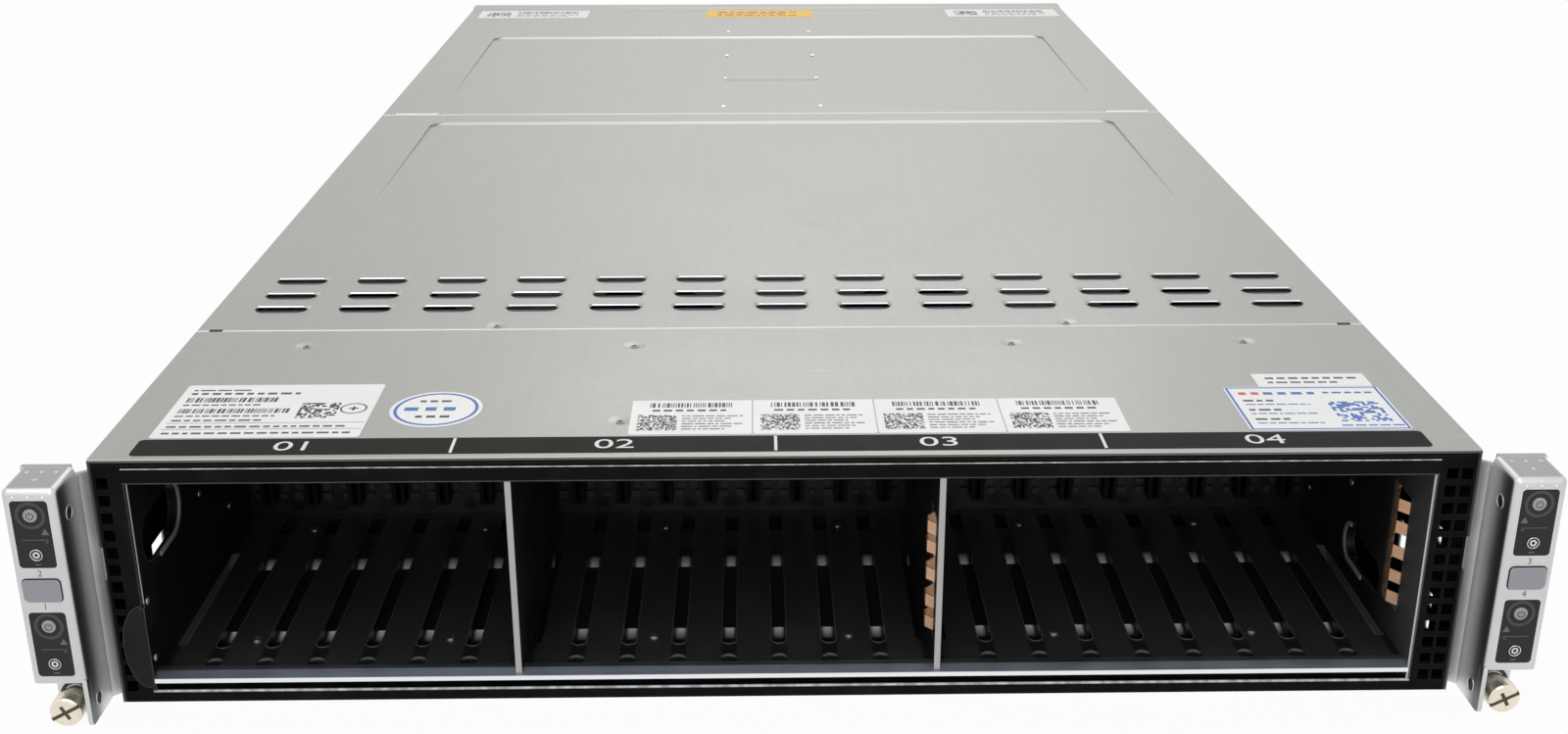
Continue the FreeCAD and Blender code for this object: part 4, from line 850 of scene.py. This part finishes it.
def rear_labels():
    for name, x in (("rear_label_left", (-212, -132)), ("rear_label_right", (132, 214))):
        label = Label(name, x, REAR_LABEL_Y)
        label.checks(6, 6, 17, 13)
        label.stripes(28, 72, 17, 25)
        label.rows((28, 74, 11, 2.0), (28, 66, 6, 1.8))
        label.close()
    amber = Label("rear_label_middle", (-44.7, 32.7), REAR_LABEL_Y, AMBER)
    amber.rows((8, 66, 20, 2.6, 8), (8, 60, 13, 2.2, 8), (8, 68, 6.5, 2.2, 8))
    amber.close()


def numeral(name, text, size, at, turn, material):
    """A plain number as a thin solid, centred on a point and turned onto its surface."""
    curve = bpy.data.curves.new(name, "FONT")
    curve.body, curve.size, curve.extrude = text, size * MM, INK * MM
    curve.align_x = curve.align_y = "CENTER"
    curve.materials.append(material)
    made = linked(name, curve)
    made.matrix_world = Matrix.Translation(at) @ turn
    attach(made, "chassis")


def printed_strip():
    """Black strip along the front edge with three ticks and plain bay numbers."""
    Shape(on_top).prism(rounded(*STRIP_X, *STRIP_Y, 1.6), 0, PAPER).piece("bay_strip", "panel_black", STRIP)
    ticks = Shape(on_top)
    for x in STRIP_TICKS:
        ticks.prism(rectangle(x - 0.5, x + 0.5, STRIP_Y[0] + 0.4, STRIP_Y[1] - 0.4), PAPER, PAPER + INK)
    ticks.piece("bay_strip_ticks", "label_paper", INKS["white"])
    edges = (STRIP_X[0], *STRIP_TICKS, STRIP_X[1])
    wide = Matrix.Diagonal((1.35, 1.0, 1.0, 1.0))
    for i, (left, right) in enumerate(zip(edges, edges[1:]), 1):
        at = on_top((left + right) / 2, sum(STRIP_Y) / 2, PAPER)
        numeral(f"bay_number_{i}", f"0{i}", 10, at, wide, INKS["white"])


# Screws and press marks on the top
def sunk_screw(name, x, y, body):
    """A flat screw with a crossed recess at the bottom of a dimple of the top sheet."""
    place, r, rise = level(x, FACE_Y + y, TOP_Z), SCREW_R, SCREW_SINK
    head = [(0.90 * r, rise - 0.4), (0.94 * r, rise - 0.10), (0.80 * r, rise), (0.3 * r, rise + 0.02)]
    Shape(place).revolve(head, 28).piece(f"{name}_head", "bare_steel", DULL, body, 40)
    arm, half = 0.58 * r, 0.17 * r
    turn = random.Random(name).uniform(0, math.pi / 2)
    # The crossed recess is a thin dark cross: painted shade
    recess = Shape(place)
    for bar in (rectangle(-arm, arm, -half, half), rectangle(-half, half, -arm, arm)):
        recess.prism(turned(bar, turn), rise - 0.02, rise + 0.04)
    recess.piece(f"{name}_recess", "black_plastic", DARK_AND_SHADE, body)


def top_fixings():
    """Screws, pips and a line over the supply tunnel, and marks at the ends of the rear seam."""
    for i, (x, y) in enumerate(((-175, 101.6), (-54.7, 100), (84, 100.5), (170, 100.7), (-55, 29)), 1):
        sunk_screw(f"panel_screw_{i}", x, y, "chassis")
    for i, x in enumerate((-108, 108), 1):
        sunk_screw(f"cover_screw_{i}", x, 122.6, "cover")
    dome = [(PIP_R, -0.05), (0.85 * PIP_R, 0.55 * PIP_H), (0.5 * PIP_R, 0.92 * PIP_H), (0.05 * PIP_R, PIP_H)]
    pips = Shape()
    for x in (-28, 28):
        for y in (494, 571, 643, 728):
            pips.at(level(x, FACE_Y + y, TOP_Z)).revolve(dome, 16)
    pips.piece("tunnel_marks", "zinc_steel", BRIGHT, smooth=50)
    # Pale strips at the ends of the rear seam: a painted highlight
    ends = Shape(on_top)
    for left, right in ((-215, -187), (188, 216)):
        ends.prism(rounded(left, right, SEAM_Y - 0.8, SEAM_Y + 0.9, 0.8), 0, 0.12)
    ends.piece("seam_ends", "zinc_steel", BRIGHT, smooth=40)
    dots = Shape(on_top)
    for x in (-214, -188, 189, 215):
        dots.prism(circle(x, SEAM_Y, 0.7, 16), 0, 0.15)
    dots.piece("seam_dots", "black_plastic", DARK_AND_SHADE)
    Shape(on_top).prism(rectangle(-28, 28, 565.9, 566.2), 0, 0.03).piece("tunnel_line", "zinc_steel", PANEL_PRINT)


# Ears
def button_cap(name, place, r, rim, body, material=None):
    """Round cap that stands for a button; its rim is given in shares of the radius and heights."""
    profile = [(0.4 * r, -BUTTON_L), (r, -BUTTON_L)] + [(share * r, height) for share, height in rim]
    cap = Shape(place).revolve(profile, 40).piece(name, "button_grey", material, body, 40)
    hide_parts(body)


def power_button(number, side, low):
    """Grey cap with a rounded rim and a plain ring and bar mark."""
    place, body = upright(side * PANEL_X, EAR_FACE, low + PANEL_H - POWER_DOWN), f"power_button_{number}"
    button_cap(f"power_cap_{number}", place, POWER_R, ((1, 0.15), (0.93, 0.33), (0.8, 0.40), (0.3, 0.42)), body)
    mark = Shape(place).band(arc(0, 0, 0.95, 120, 300), arc(0, 0, 1.2, 120, 300), 0.38, 0.46, False)
    mark.prism(rectangle(-0.12, 0.12, 0.15, 1.3), 0.38, 0.46)
    mark.piece(f"power_mark_{number}", "panel_black", DARK_AND_SHADE, body)


def locate_button(number, side, low):
    """Dark cap with a bright rim and a small ring."""
    place, body = upright(side * PANEL_X, EAR_FACE, low + LOCATE_UP), f"uid_button_{number}"
    rim = ((1, 0.16), (0.9, 0.26), (0.3, 0.26))
    button_cap(f"locate_cap_{number}", place, LOCATE_R, rim, body, FINISH["panel_black"])
    rim = Shape(place).ring(1.70, 1.96, 0.10, 0.36)
    soften(rim.piece(f"locate_rim_{number}", "bare_steel", CHROME, body, 40), 0.08)
    mark = Shape(place).ring(0.58, 1.10, 0.24, 0.32, 32)
    mark.piece(f"locate_mark_{number}", "label_paper", INKS["white"], body, 40)


def panel_marks(number, side, low):
    """Marks printed on a panel: ring round the power button, triangle, line, slanted stroke and small dash."""
    power = low + PANEL_H - POWER_DOWN
    place = upright(side * PANEL_X, EAR_FACE, power)
    Shape(place).ring(3.6, 4.6, 0, PRINT, 48).piece(f"panel_ring_{number}", "panel_black", RING_PRINT)
    marks = Shape(place)
    for outline in (((2.6, -6.6), (5.0, -6.6), (3.8, -4.4)), rectangle(-3.6, 4.4, -8.4, -8.2),
                    ((3.4, -9.4), (3.8, -9.4), (4.6, -8.6), (4.2, -8.6))):
        marks.prism([(-side * u, v) for u, v in outline], 0, PRINT)
    foot = low + LOCATE_UP - 3.6 - power
    marks.prism(rectangle(-1.0, 1.0, foot, foot + 0.4), 0, PRINT)
    marks.piece(f"panel_marks_{number}", "panel_black", PANEL_PRINT)


def ear_number(number, side, row):
    at = point(side * PANEL_X, EAR_FACE, NUMBER_Z[row])
    numeral(f"ear_number_{number}", str(number), 3.0, at, Matrix.Rotation(math.pi / 2, 4, "X"), PANEL_PRINT)


def plate_outline(side, name):
    """Dark gap round the blank plate of an ear."""
    low, high = box("name_plates")
    u, v = high.x - PANEL_X, (high.z - low.z) / 2
    gap = Shape(upright(side * PANEL_X, EAR_FACE, (low.z + high.z) / 2))
    gap.band(oblong(u, v, PANEL_ROUND), oblong(u + PLATE_GAP, v + PLATE_GAP, PANEL_ROUND + PLATE_GAP), 0, 0.03)
    gap.piece(f"{name}_plate_gap", "panel_black", DARK_AND_SHADE)


def ear_details(side, name):
    """Press dots on the ear's top and front, and the two holes in its inner wall."""
    dot = [(0.75, -0.05), (0.6, 0.15), (0.3, 0.24), (0.05, 0.26)]
    spots = [side * PANEL_X + u for u in EAR_DOTS]
    places = [level(x, FACE_Y - 2.8, EAR_TOP) for x in spots] + [level(spots[1], FACE_Y - 8.6, EAR_TOP)]
    dots = Shape()
    for place in places + [upright(x, EAR_FACE, EAR_DOT_Z) for x in spots]:
        dots.at(place).revolve(dot, 16)
    dots.piece(f"{name}_dots", "ear_silver", smooth=60)
    for i, z in enumerate(EAR_HOLE_Z, 1):
        place = sideways(side * EAR_IN, FACE_Y + EAR_HOLE_Y, z, -side)
        rim = Shape(place).ring(EAR_HOLE_R, EAR_HOLE_R + 0.5, -0.2, 0.2, 32)
        soften(rim.piece(f"{name}_hole_rim_{i}", "ear_silver", smooth=40), 0.15)
        # A dark disc inside the hole: painted shade
        hole = Shape(place).revolve([(EAR_HOLE_R, -0.2), (EAR_HOLE_R, 0.02), (0.1, 0.03)])
        hole.piece(f"{name}_hole_{i}", "black_plastic", DARK_AND_SHADE)


def ear_foot(side, name):
    """Lowest front corner of an ear's inner wall, brought forward beside the thumbscrew."""
    outline = [(0.4, 17.6), (0.4, 2.2), (0.9, 0.9), (2.2, 0.4), (6.4, 0.4), (3.4, 3.5), (3.4, 17.6)]
    foot = Shape(sideways(side * EAR_IN, EAR_FACE, 0, side)).prism(outline, 0, 1.5)
    soften(foot.piece(f"{name}_foot", "ear_silver", smooth=40), 0.2)


def knurled(radius):
    """Circle whose every second point lies a little lower."""
    ups, downs = (circle(0, 0, r, KNURLS) for r in (radius, radius * 0.988))
    return [downs[i] if i % 2 else ups[i] for i in range(KNURLS)]


def thumbscrew(name):
    """Knurled head with a broad slot and a short cross slot, a neck, a washer and the threaded end."""
    low, high = box(name)
    long, r = high.y - low.y, (high.x - low.x) / 2
    place = backward((low.x + high.x) / 2, low.y, (low.z + high.z) / 2)
    profile = ((0.2, 0.0), (0.86 * r, 0.0), (0.97 * r, 0.5), (r, 1.3), (r, 5.6), (0.93 * r, 6.2), (0.78 * r, 6.5),
               (0.76 * r, 10.6), (0.5 * r, 10.8))
    levels = [(knurled(r) if radius == r else circle(0, 0, radius, KNURLS), height) for radius, height in profile]
    head = Shape(place).stack(levels).piece(f"{name}_head", "screw_nickel", body=name, smooth=35)
    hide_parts(name)
    profile = [(0.40 * r, 10.6), (0.40 * r, 19.4)]
    h = THREAD_START
    while h < long - THREAD_PITCH:
        profile += [(0.43 * r, h), (0.48 * r, h + THREAD_PITCH / 2)]
        h += THREAD_PITCH
    profile += [(0.40 * r, long)]
    Shape(place).revolve(profile, 24).piece(f"{name}_thread", "screw_nickel", body=name, smooth=30)
    # The slots are thin dark plates: painted shade
    slot = Shape(place)
    slot.prism(turned(rectangle(-0.97 * r, 0.97 * r, -SLOT_HALF, SLOT_HALF), SLOT_TURN), -0.01, 0.5)
    slot.prism(turned(rectangle(-SLOT_HALF, SLOT_HALF, -0.5 * r, 0.5 * r), SLOT_TURN), -0.02, 0.5)
    slot.piece(f"{name}_slot", "screw_nickel", SLOT_SHADE, name)
    Shape(place).ring(0.80 * r, 1.04 * r, 11.0, 12.6).piece(f"{name}_ring", "black_plastic", smooth=40)


# Drive bays
def guide_line(x, half):
    """Outline of one side of a guide's rim: up the left, round the front end and back up the right."""
    front, back = GUIDE_START + GUIDE_W / 2, GUIDE_RAMPS[1][0]
    return [(x - half, back)] + arc(x, front, half, 180, 180, 14) + [(x + half, back)]


def guide_rims():
    """Thin raised rims round the pressed guides, paler than the coat as a painted highlight."""
    rims = Shape(level(0, FACE_Y, FLOOR_Z))
    for x0, x1, count in BAYS:
        for i in range(1, count):
            x = x0 + i * (x1 - x0) / count
            rims.band(guide_line(x, GUIDE_W / 2), guide_line(x, GUIDE_W / 2 + 0.5), 0, 0.4, False)
    soften(rims.piece("guide_rims", "black_steel", HIGHLIGHT_COAT, smooth=40), 0.12, 2)


def hole_beads():
    """Beads round the rear ends of the hand holes in the cage walls, pale as a painted highlight."""
    beads = Shape()
    for x, side, end, low, high in ((CAGE_LEFT, 1, 42.0, 45.8, 63.0), (CAGE_RIGHT, -1, 70.0, 16.5, 28.5)):
        radius = (high - low) / 2
        lines = [[(-14, -r)] + arc(0, 0, r, -90, 175) for r in (radius, radius + 2.0)]
        beads.at(sideways(x, FACE_Y + end - radius, (low + high) / 2, side)).band(*lines, 0, 0.7, False)
    soften(beads.piece("hole_beads", "black_steel", BEAD_HIGHLIGHT, smooth=40), 0.6)


def bay_screws():
    """Domed screws in the cage floor, and rivets in the cage walls."""
    dome = [(1.7, -0.05), (1.6, 0.5), (1.2, 0.8), (0.5, 0.6), (0.1, 0.5)]
    screws = Shape()
    for x in (-181.0, -115.0, -45.6, 21.1, 91.5, 159.7):
        for y in (23.0, 107.5):
            screws.at(level(x, FACE_Y + y, FLOOR_Z)).revolve(dome, 20)
    screws.piece("floor_screws", "bare_steel", DULL, smooth=40)
    rivet = [(1.3, -0.02), (1.2, 0.3), (0.7, 0.5), (0.1, 0.55)]
    rivets = Shape()
    for x, side, spots in ((CAGE_LEFT, 1, ((64.5, 45.5), (95.0, 26.0), (95.0, 66.0), (3.2, 36.0), (3.2, 15.0))),
                           (CAGE_RIGHT, -1, ((115.0, 21.0), (71.0, 43.5), (100.0, 66.0)))):
        for y, z in spots:
            rivets.at(sideways(x, FACE_Y + y, z, side)).revolve(rivet, 20)
    rivets.piece("wall_rivets", "bare_steel", smooth=40)


def backplane_parts():
    """Small parts soldered on the backplane beside the foot of each drive port."""
    rng = random.Random("backplane")
    parts = Shape()
    for x0, x1, count in BAYS:
        for i in range(count):
            middle = x0 + (i + 0.5) * (x1 - x0) / count
            for side in (-1, 1):
                for z in (17.5, 21.5):
                    wide, high, deep = (rng.uniform(a, b) for a, b in ((1.0, 1.9), (1.0, 1.6), (0.7, 1.2)))
                    parts.at(upright(middle + side * rng.uniform(4.2, 6.4), BACKPLANE_Y, z))
                    parts.prism(oblong(wide, high, 0.25, 2), 0, deep)
    parts.piece("backplane_parts", "black_plastic", TAN, smooth=40)


# Rear of the sleds and the power supplies
def socket_port(name, place, wide, high, body):
    """Network socket: dark liner and eight gold contacts."""
    half = wide / 2 - PORT_SKIN
    mouth = rectangle(-half, half, PORT_SKIN, high - PORT_SKIN)
    liner = Shape(place).band(rectangle(-half + 1.1, half - 1.1, 2.6, high - 2.2), mouth, 0.6, SOCKET_DEPTH)
    liner.prism(mouth, SOCKET_DEPTH, SOCKET_DEPTH + 0.3).piece(f"{name}_liner", "black_plastic", body=body)
    contacts = Shape(lambda a, b, h: place(h, b, a))
    for i in range(8):
        u = (i - 3.5) * CONTACT_PITCH
        contacts.prism([(2.0, high - 2.2), (8.0, high - 2.2), (8.0, high - 5.2), (7.7, high - 5.2)], u - 0.2, u + 0.2)
    contacts.piece(f"{name}_contacts", "copper", GOLD, body)


def stacked_port(name, place, wide, high, body):
    """Two serial ports one above the other, each with its tongue."""
    half, middle = wide / 2 - PORT_SKIN, high / 2
    rail = Shape(place).prism(rectangle(-half, half, middle - 0.7, middle + 0.7), 0, PORT_DEPTH)
    rail.piece(f"{name}_rail", "bare_steel", body=body)
    tongues = Shape(place)
    for v in (middle / 2 + 1.4, middle * 1.5 + 0.6):
        tongues.prism(rounded(-4.6, 4.6, v - 0.3, v + 1.4, 0.3, 2), 1.0, PORT_DEPTH)
    tongues.piece(f"{name}_tongues", "black_plastic", INKS["blue"], body)


def screen_port(name, place, wide, high, body):
    """Screen port: tapered insert with three rows of pin holes between two hexagonal posts."""
    half, middle = wide / 2 - PORT_SKIN, high / 2
    posts = Shape(place).prism(rectangle(-half, half, PORT_SKIN, high - PORT_SKIN), 1.6, 2.4)
    for u in (-12.2, 12.2):
        posts.prism(circle(u, middle, 2.4, 6), 0.1, 1.6)
    posts.piece(f"{name}_posts", "bare_steel", body=body)
    outline = [(-7.2, middle - 3.6), (7.2, middle - 3.6), (8.4, middle + 3.6), (-8.4, middle + 3.6)]
    insert = Shape(place).prism(outline, 0.4, 1.6)
    soften(insert.piece(f"{name}_insert", "black_plastic", INKS["blue"], body, 40), 0.5)
    # The pin holes are thin dark discs: painted shade
    holes = Shape(place)
    for row in (-1, 0, 1):
        for i in range(5):
            u, v = (i - 2 + 0.25 * (row == 0)) * 2.3, middle + row * 2.1
            holes.prism(circle(u, v, 0.45, 12), 0.37, 0.6)
    holes.piece(f"{name}_pin_holes", "black_plastic", DARK_AND_SHADE, body)


def sled_rear(number):
    """Fills the rear ports of a sled."""
    left, (low, high) = box(f"sled_tray_{number}")[0].x, box(f"sled_board_{number}")
    kinds = (socket_port, stacked_port, screen_port, socket_port, socket_port)
    for i, (make, (start, wide, tall)) in enumerate(zip(kinds, PORTS), 1):
        place = upright(left + start + wide / 2, high.y, low.z + BOARD_T)
        make(f"sled_{number}_port_{i}", place, wide, tall, f"sled_{number}")


def grip_ribs(name):
    """Fine ribs across the pad of a latch."""
    low, high = box(name)
    ribs = Shape()
    for i in range(5):
        z = low.z + (high.z - low.z) * (i + 1) / 6
        ribs.at(lambda u, v, h: point(h, high.y + v - 0.05, z + u))
        ribs.prism([(-0.4, 0), (0.4, 0), (0.15, 0.5), (-0.15, 0.5)], low.x + PAD_INSET, low.x + PAD_W - PAD_INSET)
    ribs.piece(f"{name}_ribs", "black_plastic", body=name)


def psu_rear(number):
    """Dark insert and flange of the mains inlet, and bright caps on its three pins."""
    body = f"psu_{number}"
    low, high = box(body)
    place = backward(low.x + INLET_X, REAR_Y, (low.z + high.z) / 2)
    u, v = INLET_HALF
    inner = oblong(u - INLET_WALL, v - INLET_WALL, INLET_ROUND - INLET_WALL)
    inlet = Shape(place).band(inner, oblong(u, v, INLET_ROUND), -INLET_DEPTH, 0)
    inlet.prism(inner, -INLET_DEPTH, 0.5 - INLET_DEPTH)
    inlet.band(inner, oblong(u + 0.3, v + 2.0, INLET_ROUND), 0, 1.2)
    inlet.piece(f"{body}_inlet", "black_plastic", body=body, smooth=40)
    pins = Shape(place)
    for i in (-1, 0, 1):
        u, v = i * PIN_PITCH, (1 - 2 * abs(i)) * PIN_DROP
        pins.prism(rounded(u - 1.15, u + 1.15, v - 3.15, v + 3.15, 0.5, 3), 0.4 - INLET_DEPTH, -3.6)
    soften(pins.piece(f"{body}_inlet_pins", "bare_steel", FINISH["sink_metal"], body, 40), 0.3)


# Stage, light and camera
def white_behind(owner, output, lit, lit_inputs, glow, share):
    """Shows white to camera, mirror and see-through rays, and the lit shader to all others."""
    g = Tree(owner)
    g.tree.nodes.clear()
    path = g.tree.nodes.new("ShaderNodeLightPath")
    seen = path.outputs["Is Camera Ray"]
    for ray in ("Is Glossy Ray", "Is Transmission Ray"):
        seen = g.maths("MAXIMUM", seen, path.outputs[ray])
    white = g.node(glow, {"Color": (1, 1, 1), "Strength": 1.0}, 0)
    shown = g.node("MixShader", {"Fac": g.times(seen, share), 1: g.node(lit, lit_inputs, 0), 2: white}, "Shader")
    g.node(output, {"Surface": shown})


def stage():
    """White floor that keeps the object's shadow."""
    material = bpy.data.materials.new("studio_floor")
    white_behind(material, "OutputMaterial", "BsdfDiffuse", {"Color": (0.86, 0.86, 0.86)}, "Emission", 0.95)
    reach, thick = 6000, 20
    floor = Shape(level(0, 0, 0)).prism(rectangle(-reach, reach, -reach, reach), -thick, 0).done("floor", material)


def world():
    """White seen directly or in a reflection, a softer white as the light on the object."""
    made = bpy.data.worlds.new("studio")
    bpy.context.scene.world = made
    white_behind(made, "OutputWorld", "Background", {"Color": (1, 1, 1), "Strength": 0.55}, "Background", 1.0)


def lamp(name, at, target, size, power):
    """Soft rectangular lamp, in metres and watts."""
    data = bpy.data.lights.new(name, "AREA")
    data.shape, data.energy = "RECTANGLE", power
    data.size, data.size_y = size
    made = linked(name, data)
    made.location = at
    made.rotation_euler = (Vector(target) - Vector(at)).to_track_quat("-Z", "Y").to_euler()


def camera():
    data = bpy.data.cameras.new("photo_camera")
    data.sensor_fit, data.sensor_width, data.clip_start = "HORIZONTAL", SENSOR, 0.01
    data.lens = FOCAL_PX / PHOTO_W * SENSOR
    made = linked("photo_camera", data)
    turn = Matrix((CAMERA_RIGHT, CAMERA_UP, [-c for c in CAMERA_FORWARD])).transposed().to_4x4()
    made.matrix_world = Matrix.Translation(CAMERA_AT) @ turn
    bpy.context.scene.camera = made


main_label()
round_label()
node_labels()
right_labels()
rear_labels()
printed_strip()
top_fixings()
for number, side, row in ((1, -1, 0), (2, -1, 1), (3, 1, 1), (4, 1, 0)):
    power_button(number, side, PANEL_Z[row])
    locate_button(number, side, PANEL_Z[row])
    panel_marks(number, side, PANEL_Z[row])
    ear_number(number, side, row)
    sled_rear(number)
    grip_ribs(f"sled_latch_{number}")
for side, name in ((-1, "left"), (1, "right")):
    ear_details(side, f"{name}_ear")
    plate_outline(side, f"{name}_ear")
    ear_foot(side, f"{name}_ear")
    thumbscrew(f"{name}_thumbscrew")
for number in (1, 2):
    psu_rear(number)
    grip_ribs(f"psu_latch_{number}")
guide_rims()
hole_beads()
bay_screws()
backplane_parts()

stage()
world()
lamp("key", (-0.5, -0.9, 2.2), (0.0, 0.35, 0.05), (1.8, 1.8), 15)
lamp("back", (0.14, 2.5, 1.7), (0.0, 0.4, 0.05), (1.1, 1.1), 6)
lamp("fill", (0.0, -1.6, 0.9), (0.0, 0.05, 0.04), (1.2, 0.6), 5)
camera()
bpy.context.scene.view_settings.view_transform = "Standard"
